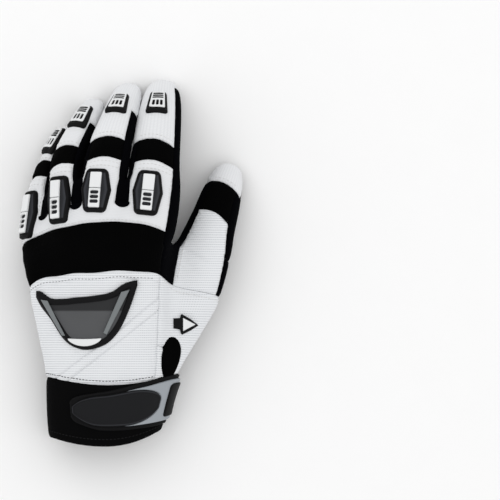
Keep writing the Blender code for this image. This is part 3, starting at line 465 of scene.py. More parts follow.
@dataclass
class HandForm:
    """The hand-shaped skin that the glove's panels are cut from.

    Key sections of each digit run along its back line. Their columns are across, along, up, width,
    depth and roll: across and width are shares of the palm's width, along a share of the glove's
    length, up and depth shares of the knuckles' height, and roll is in degrees.
    """

    glove_length: float = 0.231
    palm_width: float = 0.103
    knuckle_height: float = 0.064
    cuff_width: float = 0.071
    cuff_depth: float = 0.041
    wrist_width: float = 0.081
    wrist_depth: float = 0.046
    form_length: float = 2.243
    form_height: float = 0.621
    seam_gap: float = 0.0005
    flat_share: float = 1.28
    ring_shrink: float = 0.925
    fingertip_reach: float = 0.30
    heel_rows: tuple[float, ...] = (0.33, 0.67)
    heel_ease: float = 1.6
    digits: tuple = (
        ((-0.422, 0.453, 0.688, 0.170, 0.47, 40), (-0.474, 0.608, 0.425, 0.200, 0.38, 53),
         (-0.400, 0.765, 0.315, 0.168, 0.27, 58), (-0.325, 0.826, 0.240, 0.160, 0.26, 66),
         (-0.246, 0.878, 0.125, 0.145, 0.22, 68)),
        ((-0.232, 0.475, 0.844, 0.150, 0.53, 22), (-0.288, 0.644, 0.790, 0.185, 0.41, 42),
         (-0.264, 0.800, 0.655, 0.200, 0.30, 36), (-0.160, 0.890, 0.420, 0.188, 0.29, 42),
         (-0.066, 0.958, 0.135, 0.180, 0.24, 40)),
        ((0.000, 0.483, 0.938, 0.185, 0.56, 6), (-0.042, 0.663, 1.000, 0.222, 0.44, 12),
         (0.005, 0.822, 0.835, 0.252, 0.33, 18), (0.083, 0.926, 0.520, 0.221, 0.31, 25),
         (0.159, 1.002, 0.125, 0.180, 0.25, 24)),
        ((0.251, 0.483, 0.906, 0.220, 0.53, -4), (0.274, 0.657, 0.969, 0.262, 0.44, 0),
         (0.314, 0.814, 0.805, 0.284, 0.34, 3), (0.342, 0.926, 0.505, 0.266, 0.32, 3),
         (0.365, 1.010, 0.125, 0.208, 0.25, 6)),
        ((0.567, 0.417, 0.594, 0.310, 0.47, -8), (0.621, 0.551, 0.515, 0.327, 0.40, 0),
         (0.690, 0.660, 0.405, 0.268, 0.33, 9), (0.738, 0.720, 0.315, 0.239, 0.30, 7),
         (0.782, 0.774, 0.200, 0.185, 0.25, 5)),
    )
    # Rows past the back seam: place along the key sections, the reach and rise of the upper corners and
    # of the lower ones, as shares of half the section's width and depth, and how far its sides lag
    # behind its middle, both of them and the index finger's right side alone
    hand_rows: tuple = (
        (0.00, 0.86, 0.93, 0.60, 0.90, 0.00, 0.00), (0.40, 0.88, 0.90, 0.56, 0.90, 0.00, 0.18),
        (0.72, 0.92, 0.82, 0.54, 0.88, 0.00, 0.50), (1.00, 0.98, 0.72, 0.54, 0.86, 0.00, 0.18),
        (1.50, 0.98, 0.66, 0.62, 0.82, 0.10, 0.05))
    finger_rows: tuple = (
        (1.84, 0.94, 0.66, 0.72, 0.78, 0.32, 0.18), (2.21, 0.90, 0.66, 0.74, 0.76, 0.26, 0.30),
        (3.10, 0.80, 0.74, 0.74, 0.76, 0.00, 0.00), (4.00, 0.74, 0.74, 0.74, 0.74, 0.00, 0.00))
    thumb_hand_rows: tuple = (
        (0.00, 0.98, 0.66, 0.70, 0.80, 0.00, 0.00), (0.95, 0.90, 0.70, 0.74, 0.78, 0.00, 0.00))
    thumb_rows: tuple = (
        (1.45, 0.77, 0.78, 0.74, 0.76, 0.20, 0.00), (1.85, 0.77, 0.78, 0.74, 0.76, 0.45, 0.00),
        (2.40, 0.77, 0.78, 0.74, 0.76, 0.15, 0.00), (3.00, 0.76, 0.76, 0.74, 0.76, 0.30, 0.00),
        (4.00, 0.74, 0.74, 0.74, 0.74, 0.00, 0.00))
    # How far a digit's right side stands out past its section at a place, as a share of half its width
    bulges: tuple = ({}, {}, {1.50: 0.14, 1.84: 0.28, 2.21: 0.06},
                     {0.40: 0.26, 0.72: 0.46, 1.00: 0.52, 1.50: 0.36, 1.84: 0.14}, {})
    # How much of a row's arch leans over to the digit's left side
    leans: tuple[float, ...] = (0.9, 0.8, 0.45, 0.0, -0.6)
    # The sides that each digit's back panels reach round to besides its back's two, and from which row on
    wide_sides: tuple = ({TOP_RIGHT: 3}, {TOP_RIGHT: 3}, {TOP_RIGHT: 3, LEFT: 2}, {LEFT: 2},
                         {TOP_RIGHT: 4, LEFT: 4})
    panel_names: list[str] = field(default_factory=list)

    def __post_init__(self) -> None:
        """Work out the wrist's rows, make the cage and smooth it."""
        self.stretch = np.array([self.palm_width, self.glove_length / self.form_length,
                                 self.knuckle_height / self.form_height])
        # Middle across, width, depth, and how far along the top and the two sides lie
        self.wrist_rows = (
            (0.009, self.cuff_width, self.cuff_depth, 0.000, 0.027, 0.046),
            (0.014, 0.7 * self.cuff_width + 0.3 * self.wrist_width, (self.cuff_depth + self.wrist_depth) / 2,
             0.080, 0.104, 0.112),
            (0.044, self.wrist_width, self.wrist_depth, 0.164, 0.193, 0.196))
        self.corners = np.full((5, 16, 8), -1)
        self.points: list[Array] = []
        self.quads: list[Array] = []
        self.lattices: list[Array] = []
        self.cut: list[int] = []
        self.wrist_and_hand()
        self.webs()
        for digit in range(5):
            self.digit_end(digit)
        self.smooth()

    def section(self, digit: int, place: float) -> tuple[Array, Array, Array, Array, Array]:
        """A digit's section on the form: its back point, its right, forward and up directions, its values.

        Formula: forward is the slope of the back line, right is level and square to it, and both right
        and up are turned about it by the section's roll.
        """
        value, slope = eased(np.array(self.digits[digit], float), np.array([place]))
        scale = np.array([1.0, self.form_length, self.form_height])
        back, forward = value[0, :3] * scale, unit(slope[0, :3] * scale)
        level = unit(np.cross(forward, [0.0, 0.0, 1.0]))
        level_up = np.cross(level, forward)
        roll = math.radians(value[0, 5])
        up = level_up * math.cos(roll) - level * math.sin(roll)
        right = level * math.cos(roll) + level_up * math.sin(roll)
        return back, right, forward, up, value[0]

    def ring(self, digit: int, row: tuple[float, ...]) -> Array:
        """The eight corners of a digit's section, in metres.

        Formula: the section's middle plus right times the corner's reach and up times its rise, less
        forward times the lag of its upper corners.
        """
        place, upper, rise, lower, drop, arch, skew = row
        side = 1 + self.bulges[digit].get(place, 0.0)
        back, right, forward, up, value = self.section(digit, place)
        half_depth = value[4] * self.form_height / 2
        reach = np.array([-upper, 0, upper, side, lower, 0, -lower, -1])[:, None]
        lift = np.array([rise, 1, rise, 0, -drop, -1, -drop, 0])[:, None]
        lag = (arch * (np.abs(reach) - self.leans[digit] * reach)
               + (digit == INDEX) * skew * np.maximum(reach, 0.0))
        lag = lag * (lift >= 0)
        middle = back - up * half_depth
        place = middle + (right * reach * value[3] / 2 + up * lift * half_depth) / self.ring_shrink
        return (place - forward * lag * value[3] / 2) * self.stretch

    def wrist(self, row: tuple[float, ...], turn: Array) -> Array:
        """Points of a wrist row: an oval that lies flat below, and whose sides lie further along."""
        across, width, depth, top_along, left_along, right_along = row
        cosine, sine = np.cos(np.pi - turn), np.sin(np.pi - turn)
        side = np.where(cosine > 0, right_along, left_along)
        along = top_along + (side - top_along) * cosine ** 2
        low = np.maximum(0.0, depth / 2 * (1 + self.flat_share * sine))
        height = np.where(sine >= 0, depth / 2 * (1 + sine), low)
        return np.stack([across * self.palm_width + width / 2 * cosine, along * self.glove_length,
                         height], -1)

    def put(self, digit: Array | int, number: int, corner: Array, places: Array) -> None:
        """Add corners of the cage and note their numbers."""
        start = sum(len(block) for block in self.points)
        self.corners[digit, number, corner] = start + np.arange(len(places))
        self.points.append(places)

    def face(self, quads: Array, lattice: Array, names: list[str]) -> None:
        """Add faces of the cage, where they lie on the lattice, and the panels that they belong to."""
        self.quads.append(quads)
        self.lattices.append(lattice)
        for name in names:
            if name not in self.panel_names:
                self.panel_names.append(name)
            self.cut.append(self.panel_names.index(name))

    @staticmethod
    def loop(count: int) -> tuple[Array, Array]:
        """Digit and corner of each column round the hand, over the back and round under the palm."""
        over = np.repeat(np.arange(count), 3)
        digit = np.concatenate([[0], over, [count - 1], over[::-1]])
        corner = np.concatenate([[LEFT], np.tile([TOP_LEFT, TOP, TOP_RIGHT], count), [RIGHT],
                                 np.tile([LOW_RIGHT, LOW, LOW_LEFT], count)])
        return digit, corner

    @staticmethod
    def band_names(row: int, columns: int) -> list[str]:
        """The panel of each column between a hand row and the next."""
        if row < WRIST_ROW:
            return ["cuff"] * columns
        side = slice(SIDE_COLUMN, SIDE_COLUMN + 2)
        if row < BACK_SEAM_ROW:
            names = (["back_panel"] * SIDE_COLUMN + ["thumb_base_panel"] * (PALM_COLUMN - SIDE_COLUMN)
                     + ["palm_heel"] * (columns - PALM_COLUMN))
            if row == WRIST_ROW:
                names[side] = ["wrist_gusset"] * 2
            return names
        back = "knuckle_stretch_panel" if row < STRETCH_SEAM_ROW else "knuckle_panel"
        names = [back] * SIDE_COLUMN + ["palm"] * (columns - SIDE_COLUMN)
        if row > STRETCH_SEAM_ROW:
            for column, name in BETWEEN_FINGERS.items():
                names[column] = name
        names[side] = ["index_side_strip"] * 2
        if row == BACK_SEAM_ROW:
            names[THUMB_COLUMN:THUMB_COLUMN + 2] = ["thumb_panel"] * 2
        return names

    def band(self, digit: Array | int, corner: Array, column: Array, number: int, names: list[str]) -> None:
        """Add the faces between a row of corners and the next, with their places on the lattice."""
        low, high = self.corners[digit, number, corner], self.corners[digit, number + 1, corner]
        here, after = np.full_like(column, number), np.full_like(column, number + 1)
        lattice = np.stack([column, here, column + 1, here, column + 1, after, column, after], -1)
        self.face(np.stack([low, np.roll(low, -1), np.roll(high, -1), high], -1),
                  lattice.reshape(-1, 4, 2), names)

    def wrist_and_hand(self) -> None:
        """Rows of corners from the cuff to the fingers' crotches, and the faces between them."""
        full, four = self.loop(5), self.loop(4)
        turn = math.tau * np.arange(len(full[0])) / len(full[0])
        rings = {(digit, BACK_SEAM_ROW + number): self.ring(digit, row)
                 for digit in range(4) for number, row in enumerate(self.hand_rows)}
        rings.update({(THUMB, BACK_SEAM_ROW + number): self.ring(THUMB, row)
                      for number, row in enumerate(self.thumb_hand_rows)})
        for number, row in enumerate(self.wrist_rows):
            self.put(full[0], number, full[1], self.wrist(row, turn))
        start = self.wrist(self.wrist_rows[-1], turn)
        end = np.stack([rings[digit, BACK_SEAM_ROW] for digit in range(5)])[full]
        below = (full[1] >= LOW_RIGHT) & (full[1] <= LOW_LEFT)
        for number, share in enumerate(self.heel_rows):
            place = start + (end - start) * share
            eased_height = start[:, 2] + (end[:, 2] - start[:, 2]) * share ** self.heel_ease
            place[:, 2] = np.where(below, eased_height, place[:, 2])
            self.put(full[0], WRIST_ROW + 1 + number, full[1], place)
        for (digit, number), ring in rings.items():
            hidden: tuple[int, ...] = {LITTLE: (RIGHT,), THUMB: (LEFT,)}.get(digit, (LEFT, RIGHT))
            if digit == INDEX and number >= THUMB_CROTCH_ROW:
                hidden = (LEFT,)
            if number >= (THUMB_CROTCH_ROW if digit == THUMB else FINGER_CROTCH_ROW):
                hidden = ()
            kept = np.array([corner for corner in range(8) if corner not in hidden])
            self.put(digit, number, kept, ring[kept])
        for number in range(FINGER_CROTCH_ROW):
            digit, corner = full if number < THUMB_CROTCH_ROW else four
            self.band(digit, corner, np.arange(len(digit)), number, self.band_names(number, len(digit)))

    def webs(self) -> None:
        """Two faces in each crotch between digits, which join their walls."""
        for left, name in enumerate((*BETWEEN_FINGERS.values(), "index_side_strip")):
            number = THUMB_CROTCH_ROW if left == INDEX else FINGER_CROTCH_ROW
            own, other = self.corners[left, number], self.corners[left + 1, number]
            quads = np.array([[own[TOP_RIGHT], other[TOP_LEFT], other[LEFT], own[RIGHT]],
                              [own[RIGHT], other[LEFT], other[LOW_LEFT], own[LOW_RIGHT]]])
            self.face(quads, np.zeros((2, 4, 2)), [name] * 2)

    def digit_names(self, digit: int, row: int) -> list[str]:
        """The panel of each side of a digit, from its back's left half round to its left wall."""
        under = "thumb_underside" if digit == THUMB else "finger_underside_" + DIGIT_NAMES[digit]
        walls = (under, *BETWEEN_FINGERS.values(), "index_side_strip", under)
        if digit == THUMB:
            back = ("thumb_panel", "thumb_panel", "thumb_stretch_panel", "thumb_stretch_panel",
                    "thumb_tip_panel", "thumb_tip_panel")[row]
        else:
            back = ("knuckle_panel", "finger_stretch_" + DIGIT_NAMES[digit],
                    "fingertip_panel_" + DIGIT_NAMES[digit])[min(row, 2)]
        left, right = walls[digit], walls[digit + 1]
        names = [back, back, right, right, under, under, left, left]
        for side, first in self.wide_sides[digit].items():
            if row >= first:
                names[side] = back
        return names

    def digit_end(self, digit: int) -> None:
        """Rows of corners past a digit's crotch, and the four faces that close its end."""
        first, rows = ((THUMB_CROTCH_ROW, self.thumb_rows) if digit == THUMB
                       else (FINGER_CROTCH_ROW, self.finger_rows))
        side, column = np.arange(8), 1 + 3 * digit + np.arange(8)
        for count, row in enumerate(rows):
            number = first + count
            self.put(digit, number + 1, side, self.ring(digit, row))
            self.band(digit, side, column, number, self.digit_names(digit, count))
        last = first + len(rows)
        back, _, forward, up, value = self.section(digit, rows[-1][0])
        tip = back - up * (value[4] * self.form_height / 2) + forward * (self.fingertip_reach * value[3])
        self.put(digit, last + 1, np.array([0]), (tip * self.stretch)[None])
        ring, end = self.corners[digit, last], self.corners[digit, last + 1, 0]
        for start, side_name in ((LEFT, TOP_LEFT), (TOP, TOP_LEFT), (RIGHT, LOW_RIGHT), (LOW, LOW_RIGHT)):
            steps = (start + np.arange(3)) % 8
            places = np.array([[1 + 3 * digit + (start + step if start != LEFT else step - 1), last]
                               for step in range(3)] + [[2 + 3 * digit, last + 1]], float)
            self.face(np.array([[*ring[steps], end]]), places[None],
                      [self.digit_names(digit, len(rows))[side_name]])

    def smooth(self) -> None:
        """Smooth the cage with a Subdivision Surface and keep its points, directions, faces and lattice.

        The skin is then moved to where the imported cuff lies.
        """
        mesh = bpy.data.meshes.new("form")
        mesh.from_pydata(np.concatenate(self.points).tolist(), [], np.concatenate(self.quads).tolist())
        mesh.polygons.foreach_set("material_index", self.cut)
        for name in self.panel_names:
            mesh.materials.append(bpy.data.materials.new("cut_" + name))
        mesh.uv_layers.new(name="lattice").data.foreach_set("uv", np.concatenate(self.lattices).ravel())
        guide = bpy.data.objects.new("form", mesh)
        bpy.context.scene.collection.objects.link(guide)
        smoothing = guide.modifiers.new("smooth", "SUBSURF")
        smoothing.levels = smoothing.render_levels = LEVEL
        smoothing.uv_smooth = "NONE"
        smooth = bpy.data.meshes.new_from_object(guide.evaluated_get(bpy.context.evaluated_depsgraph_get()))
        self.skin = np.empty((len(smooth.vertices), 3))
        smooth.vertices.foreach_get("co", self.skin.ravel())
        self.skin[:, 2] = np.maximum(self.skin[:, 2], 0.0)
        smooth.vertices.foreach_set("co", self.skin.ravel())
        smooth.update()
        self.outward = np.empty_like(self.skin)
        smooth.vertices.foreach_get("normal", self.outward.ravel())
        self.skin_quads = np.empty(len(smooth.loops), int)
        smooth.loops.foreach_get("vertex_index", self.skin_quads)
        self.skin_quads = self.skin_quads.reshape(-1, 4)
        self.skin_lattice = np.empty(2 * len(smooth.loops))
        smooth.uv_layers[0].data.foreach_get("uv", self.skin_lattice)
        self.skin_lattice = self.skin_lattice.reshape(-1, 4, 2)
        self.skin_cut = np.empty(len(smooth.polygons), int)
        smooth.polygons.foreach_get("material_index", self.skin_cut)
        for name in self.panel_names:
            bpy.data.materials.remove(bpy.data.materials["cut_" + name])
        bpy.data.objects.remove(guide)
        bpy.data.meshes.remove(mesh)
        bpy.data.meshes.remove(smooth)
        low, high = (np.array(corner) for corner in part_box("cuff"))
        cuff = self.skin[np.unique(self.skin_quads[self.skin_cut == self.panel_names.index("cuff")])]
        middle = (cuff[:, 0].min() + cuff[:, 0].max()) / 2
        self.shift = np.array([(low[0] + high[0]) / 2 - middle,
                               low[1] - self.seam_gap / 2 - cuff[:, 1].min(), 0.0])
        self.skin += self.shift

    def sheet(self, name: str) -> Sheet:
        """The part of the skin that one panel is cut from."""
        own = self.skin_cut == self.panel_names.index(name)
        used, quads = np.unique(self.skin_quads[own], return_inverse=True)
        quads = quads.reshape(-1, 4)
        lattice = np.zeros((len(used), 2))
        lattice[quads.ravel()] = self.skin_lattice[own].reshape(-1, 2)
        return Sheet(self.skin[used], self.outward[used], quads, lattice)


# Places on the skin


class HeightRaster:
    """Heights of the skin over a flat chart, on an even raster that is smoothed and read between its cells.

    Formula: each cell holds the sum and the number of the points in it; both are blurred by the same
    bell curve, and their ratio is the height.
    """

    cell = 0.0008

    def __init__(self, a: Array, b: Array, heights: Array, spread: float = 1.6) -> None:
        margin = 8 * self.cell
        self.low = np.array([a.min() - margin, b.min() - margin])
        shape = (int((a.max() + margin - self.low[0]) / self.cell) + 2,
                 int((b.max() + margin - self.low[1]) / self.cell) + 2)
        rows = ((a - self.low[0]) / self.cell + 0.5).astype(int)
        columns = ((b - self.low[1]) / self.cell + 0.5).astype(int)
        total, count = np.zeros(shape), np.zeros(shape)
        np.add.at(total, (rows, columns), heights)
        np.add.at(count, (rows, columns), 1.0)
        taps = np.arange(-6, 7)
        for axis in (0, 1):
            total, count = (sum(math.exp(-(tap / spread) ** 2 / 2) * np.roll(raster, tap, axis=axis)
                                for tap in taps) for raster in (total, count))
        self.heights = np.where(count > 1e-3, total / np.maximum(count, 1e-9), heights.min())

    def at(self, a: Array, b: Array) -> Array:
        """The height at places of the chart, mixed from the four cells round each."""
        row = np.clip((a - self.low[0]) / self.cell, 0, self.heights.shape[0] - 1.001)
        column = np.clip((b - self.low[1]) / self.cell, 0, self.heights.shape[1] - 1.001)
        i, j = row.astype(int), column.astype(int)
        u, v = row - i, column - j
        grid = self.heights
        return ((grid[i, j] * (1 - u) + grid[i + 1, j] * u) * (1 - v)
                + (grid[i, j + 1] * (1 - u) + grid[i + 1, j + 1] * u) * v)


class FlatChart:
    """A flat frame over the skin, from which the points of a moulded piece drop onto it."""

    def __init__(self, form: HandForm, origin: Array, right: Array, forward: Array,
                 reach: tuple[float, float], drop: float = 0.03) -> None:
        self.origin, self.right, self.forward, self.drop = origin, right, forward, drop
        self.normal = unit(np.cross(right, forward))
        local = form.skin - origin
        a, b, height = local @ right, local @ forward, local @ self.normal
        near = ((np.abs(a) < reach[0]) & (np.abs(b) < reach[1]) & (form.outward @ self.normal > 0.15)
                & (height > -drop - 0.008) & (height < 0.03))
        self.raster = HeightRaster(a[near], b[near], height[near])

    def place(self, a: Array, b: Array, lift: Array | float) -> Array:
        """Points over the skin: the frame's origin, plus a to the right, b forward and the skin's height."""
        height = np.maximum(self.raster.at(a, b), -self.drop) + lift
        return (self.origin + self.right * a[..., None] + self.forward * b[..., None]
                + self.normal * height[..., None])


class WrapChart:
    """A chart wrapped round the wrist: a turn in degrees from the thumb side over the back, and along."""

    def __init__(self, form: HandForm, reach: float = 0.26, height: float = 0.45,
                 radius: float = 0.038) -> None:
        self.radius = radius
        self.middle = np.array([form.wrist_rows[1][0] * form.palm_width, 0.0, height * form.wrist_depth])
        self.middle = self.middle + form.shift * np.array([1.0, 0.0, 1.0])
        local = form.skin - self.middle
        near = form.skin[:, 1] < form.shift[1] + reach * form.glove_length
        turn = np.arctan2(local[near, 2], local[near, 0])
        self.raster = HeightRaster(turn * radius, form.skin[near, 1],
                                   np.hypot(local[near, 0], local[near, 2]))

    def place(self, turn: Array, along: Array, lift: Array | float) -> Array:
        """Points round the wrist: the axis plus the outward direction times the skin's radius and a lift."""
        angle = np.radians(turn)
        out = self.raster.at(angle * self.radius, along) + lift
        return np.stack([self.middle[0] + out * np.cos(angle), along,
                         self.middle[2] + out * np.sin(angle)], -1)


@dataclass
class Moulding:
    """A moulded piece over a chart: a band that runs from end to end between a lower and an upper edge.

    Formula: the grid's point at (s, t) lies at share t of the way from the lower edge to the upper one
    at s. The face stands over the skin by the relief there, and the underside lies in the skin by foot.
    """

    name: str
    finish: Finish
    lower: Edge
    upper: Edge
    relief: Shape
    steps: tuple[int, int] = (80, 60)
    crowd: tuple[float, float] = (0.5, 0.6)
    foot: float = 0.0006
    sharp: float = 35.0
    tone: Shape | None = None

    def build(self, chart: FlatChart | WrapChart) -> bpy.types.Object:
        """Make the piece on a chart."""
        s, t = crowded(self.steps[0], self.crowd[0]), crowded(self.steps[1], self.crowd[1])
        low_a, low_b = self.lower(s)
        high_a, high_b = self.upper(s)
        a = low_a[:, None] + (high_a - low_a)[:, None] * t
        b = low_b[:, None] + (high_b - low_b)[:, None] * t
        every = np.broadcast_arrays(s[:, None], t)
        lift = self.relief(*every, a, b)
        top = chart.place(a, b, lift).reshape(-1, 3)
        bottom = chart.place(a, b, -self.foot).reshape(-1, 3)
        quads = grid_quads(*self.steps)
        points, faces = closed_shell(top, bottom, quads)
        pattern = np.zeros((len(points), 2))
        if self.tone:
            pattern[:len(top), 0] = self.tone(*every, a, b).ravel()
        return add_piece(self.name, points, facing_out(points, faces), self.finish, pattern, self.sharp)


def closed_shell(outer: Array, inner: Array, quads: Array) -> tuple[Array, Array]:
    """A wall between two faces of the same quads: both faces, and a strip along their rim."""
    count = len(outer)
    rim = rim_edges(quads)
    strip = np.stack([rim[:, 1], rim[:, 0], rim[:, 0] + count, rim[:, 1] + count], -1)
    return np.concatenate([outer, inner]), np.concatenate([quads, quads[:, ::-1] + count, strip])


def pill(a: Array, b: Array, middle: tuple[float, float], half: tuple[float, float]) -> Array:
    """How far a point lies outside a slot with round ends; below zero it lies in it."""
    radius = min(half)
    x = np.maximum(np.abs(a - middle[0]) - (half[0] - radius), 0.0)
    y = np.maximum(np.abs(b - middle[1]) - (half[1] - radius), 0.0)
    return np.hypot(x, y) - radius


def corner_cut(distance: Array, radius: float) -> Array:
    """How far an outline draws in, near its end, for a corner rounded to that radius."""
    inside = np.clip(radius - distance, 0.0, radius)
    return radius - np.sqrt(np.maximum(radius ** 2 - inside ** 2, 0.0))


def edge_roll(distance: Array, bevel: float, start: float = 0.25) -> Array:
    """A rounded edge: from start at the outline to 1 at the bevel's end, on a quarter of a circle."""
    share = np.clip(distance / bevel, 0.0, 1.0)
    return start + (1 - start) * np.sqrt(np.maximum(1 - (1 - share) ** 2, 0.0))


def spindle(half: Callable[[Array], Array], length: float, forward: float = 0.0) -> tuple[Edge, Edge]:
    """A piece's left and right edge, at half its width to each side of a line that runs forward."""
    return (lambda s: (-half(s), (s - 0.5) * length + forward),
            lambda s: (half(s), (s - 0.5) * length + forward))


def oval_inset(s: Array, ends: tuple[float, float], least: float, most: float) -> Array:
    """An inset that grows to most over a share of the length at each end, as an oval does."""
    pull = np.maximum(np.clip(1 - s / ends[0], 0.0, 1.0), np.clip(1 - (1 - s) / ends[1], 0.0, 1.0))
    return least + (most - least) * (1 - np.sqrt(np.maximum(1 - pull ** 2, 0.0)))


# Sewn panels


class Relief(Enum):
    """How a panel's face is shaped between its seams."""

    PLAIN = "plain"
    RIBBED = "ribbed"
    STRETCH = "stretch"


@dataclass(frozen=True)
class Crease:
    """A soft fold on the back of the glove, from one place to another in plan."""

    start: tuple[float, float]
    end: tuple[float, float]
    width: float
    depth: float

    def lift(self, points: Array) -> Array:
        """A furrow with a low bank on each side: (banks less one) times a bell curve of the distance."""
        start, along = np.array(self.start), np.array(self.end) - np.array(self.start)
        share = np.clip(((points[:, :2] - start) @ along) / (along @ along), 0.0, 1.0)
        away = np.linalg.norm(points[:, :2] - start - share[:, None] * along, axis=1) / self.width
        taper = np.sin(np.pi * np.clip(share, 0.02, 0.98)) ** 0.6
        return self.depth * taper * (0.9 * away ** 2 - 1) * np.exp(-away ** 2)


CREASES = (
    Crease((0.0304, 0.0100), (0.0500, 0.0010), 0.0022, 0.0009),
    Crease((0.0300, 0.0020), (0.0460, -0.0065), 0.0024, 0.0006),
    Crease((0.0270, -0.0170), (0.0530, -0.0200), 0.0018, 0.0009),
    Crease((0.0290, -0.0290), (0.0440, -0.0380), 0.0030, 0.0006),
    Crease((-0.0480, -0.0360), (-0.0330, -0.0560), 0.0030, 0.0006),
    Crease((0.0120, -0.0480), (0.0210, -0.0600), 0.0026, 0.0005),
    Crease((0.0700, 0.0220), (0.0560, 0.0300), 0.0026, 0.0007),
    Crease((0.0640, 0.0420), (0.0500, 0.0380), 0.0022, 0.0006),
)


@dataclass
class ClothPanel:
    """One sewn panel: a wall of cloth that is pinched at its seams and full between them."""

    name: str
    finish: Finish
    wall: float
    relief: Relief = Relief.PLAIN
    crown: float = 0.0006
    sink: float = 0.0006
    rib_pitch: float = 0.0015
    rib_height: float = 0.00020
    hem_width: float = 0.0052
    strip: tuple[tuple[float, float], tuple[float, float]] = ((0.0263, -0.0191), (-0.0377, -0.0692))
    strip_width: float = 0.0060
    gap: float = 0.00008
    surround: bool = False

    def build(self, form: HandForm) -> "ClothPanel":
        """Cut the panel from the form, dress its face, give it its wall and put it in the scene.

        A surround only frames another piece, such as the wrist gusset's oval, and stands for no node.
        """
        sheet = form.sheet(self.name)
        if self.relief is Relief.RIBBED:
            sheet = self.refined(sheet)
        rim = rim_edges(sheet.quads)
        points = sheet.points.copy()
        self.draw_in(points, sheet, rim)
        self.seam_distance = distances(points, points[np.unique(rim)])
        lift = self.face_lift(form, sheet)
        floor = sheet.points[:, 2] < 0.0004
        lift = np.where(floor, np.minimum(lift, 0.0), lift)
        outer = points + sheet.normals * lift[:, None]
        outer[:, 2] = np.maximum(outer[:, 2], 0.0)
        inner = points - sheet.normals * self.wall
        self.outer, self.sheet = outer, sheet
        vertices, faces = closed_shell(outer, inner, sheet.quads)
        piece = add_piece(self.name + ("_surround" if self.surround else "_cloth"), vertices, faces,
                          self.finish, np.tile(self.pattern(sheet), (2, 1)), sharp=75.0)
        if not self.surround:
            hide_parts(self.name)
        return self

    def refined(self, sheet: Sheet) -> Sheet:
        """The same sheet with its rows close enough together for its ribs, and every second column.

        Formula: the skin's points form a lattice of columns and rows; each column is read at places
        between its rows by the eased curve through them.
        """
        per_cell = 2 ** LEVEL
        keys = np.rint(sheet.lattice * per_cell).astype(int)
        low = keys.min(axis=0)
        columns, rows = keys.max(axis=0) - low + 1
        grid = np.zeros((rows, columns, 6))
        grid[keys[:, 1] - low[1], keys[:, 0] - low[0]] = np.concatenate([sheet.points, sheet.normals], 1)
        held = np.zeros((rows - 1, columns - 1), bool)
        first = keys[sheet.quads].min(axis=1) - low
        held[first[:, 1], first[:, 0]] = True
        known = np.zeros((rows, columns), bool)
        known[keys[:, 1] - low[1], keys[:, 0] - low[0]] = True
        for _ in range(per_cell + 1):
            found = known.copy()
            for shift, edge in ((1, 0), (-1, -1)):
                spread = np.roll(known, shift, axis=0)
                spread[edge] = False
                new = spread & ~found
                grid[new] = np.roll(grid, shift, axis=0)[new]
                found |= new
            known = found
        step = 2 if columns > 40 and LEVEL > 3 else 1
        grid, held = grid[:, ::step], held[:, ::step][:, :(columns - 1) // step]
        length = np.linalg.norm(np.diff(grid[:, grid.shape[1] // 2, :3], axis=0), axis=1).sum()
        finer = max(1, round(length / (rows - 1) / (self.rib_pitch / 5)))
        places = np.arange((rows - 1) * finer + 1) / finer
        fine, _ = eased(grid.reshape(rows, -1), places)
        fine = fine.reshape(len(places), -1, 6)
        held = np.repeat(held, finer, axis=0)
        quads = grid_quads(*fine.shape[:2])[held.ravel()]
        used, quads = np.unique(quads, return_inverse=True)
        lattice = np.stack(np.broadcast_arrays((np.arange(fine.shape[1]) * step + low[0]) / per_cell,
                                               ((places + low[1]) / per_cell)[:, None]), -1).reshape(-1, 2)
        flat = fine.reshape(-1, 6)[used]
        return Sheet(flat[:, :3], unit(flat[:, 3:]), quads.reshape(-1, 4), lattice[used])

    def draw_in(self, points: Array, sheet: Sheet, rim: Array) -> None:
        """Move the rim into the panel by the gap, square to the rim and to the skin."""
        sideways = np.zeros_like(points)
        step = np.cross(sheet.normals[rim[:, 0]], points[rim[:, 1]] - points[rim[:, 0]])
        for end in (0, 1):
            np.add.at(sideways, rim[:, end], unit(step))
        points += unit(sideways) * self.gap

    def face_lift(self, form: HandForm, sheet: Sheet) -> Array:
        """How far the face stands off the form.

        Formula: the crown times one less a falling curve of the distance to the seam, less a bell curve
        at the seam itself, plus puckers that fade away from the seam, the creases and the panel's relief.
        """
        away, points = self.seam_distance, sheet.points
        lift = self.crown * (1 - np.exp(-away / 0.0045)) - self.sink * np.exp(-(away / 0.0010) ** 2)
        ripple = np.sin(points[:, 0] * 1150 + 1.7 * np.sin(points[:, 1] * 310)) \
            * np.sin(points[:, 1] * 1090 + 1.3 * np.sin(points[:, 0] * 270))
        lift = lift + 0.00016 * ripple * np.exp(-away / 0.0028)
        if self.relief is Relief.STRETCH:
            wave = np.sin(points[:, 1] * 620 + 0.6 * np.sin(points[:, 0] * 160))
            return lift + 0.00012 * wave * smooth_step(away, 0.001, 0.004)
        if np.median(sheet.normals[:, 2]) > 0.2:
            lift = lift + sum(crease.lift(points) for crease in CREASES)
        if self.relief is Relief.RIBBED:
            lift = lift + self.ribs(points, sheet)
        return lift

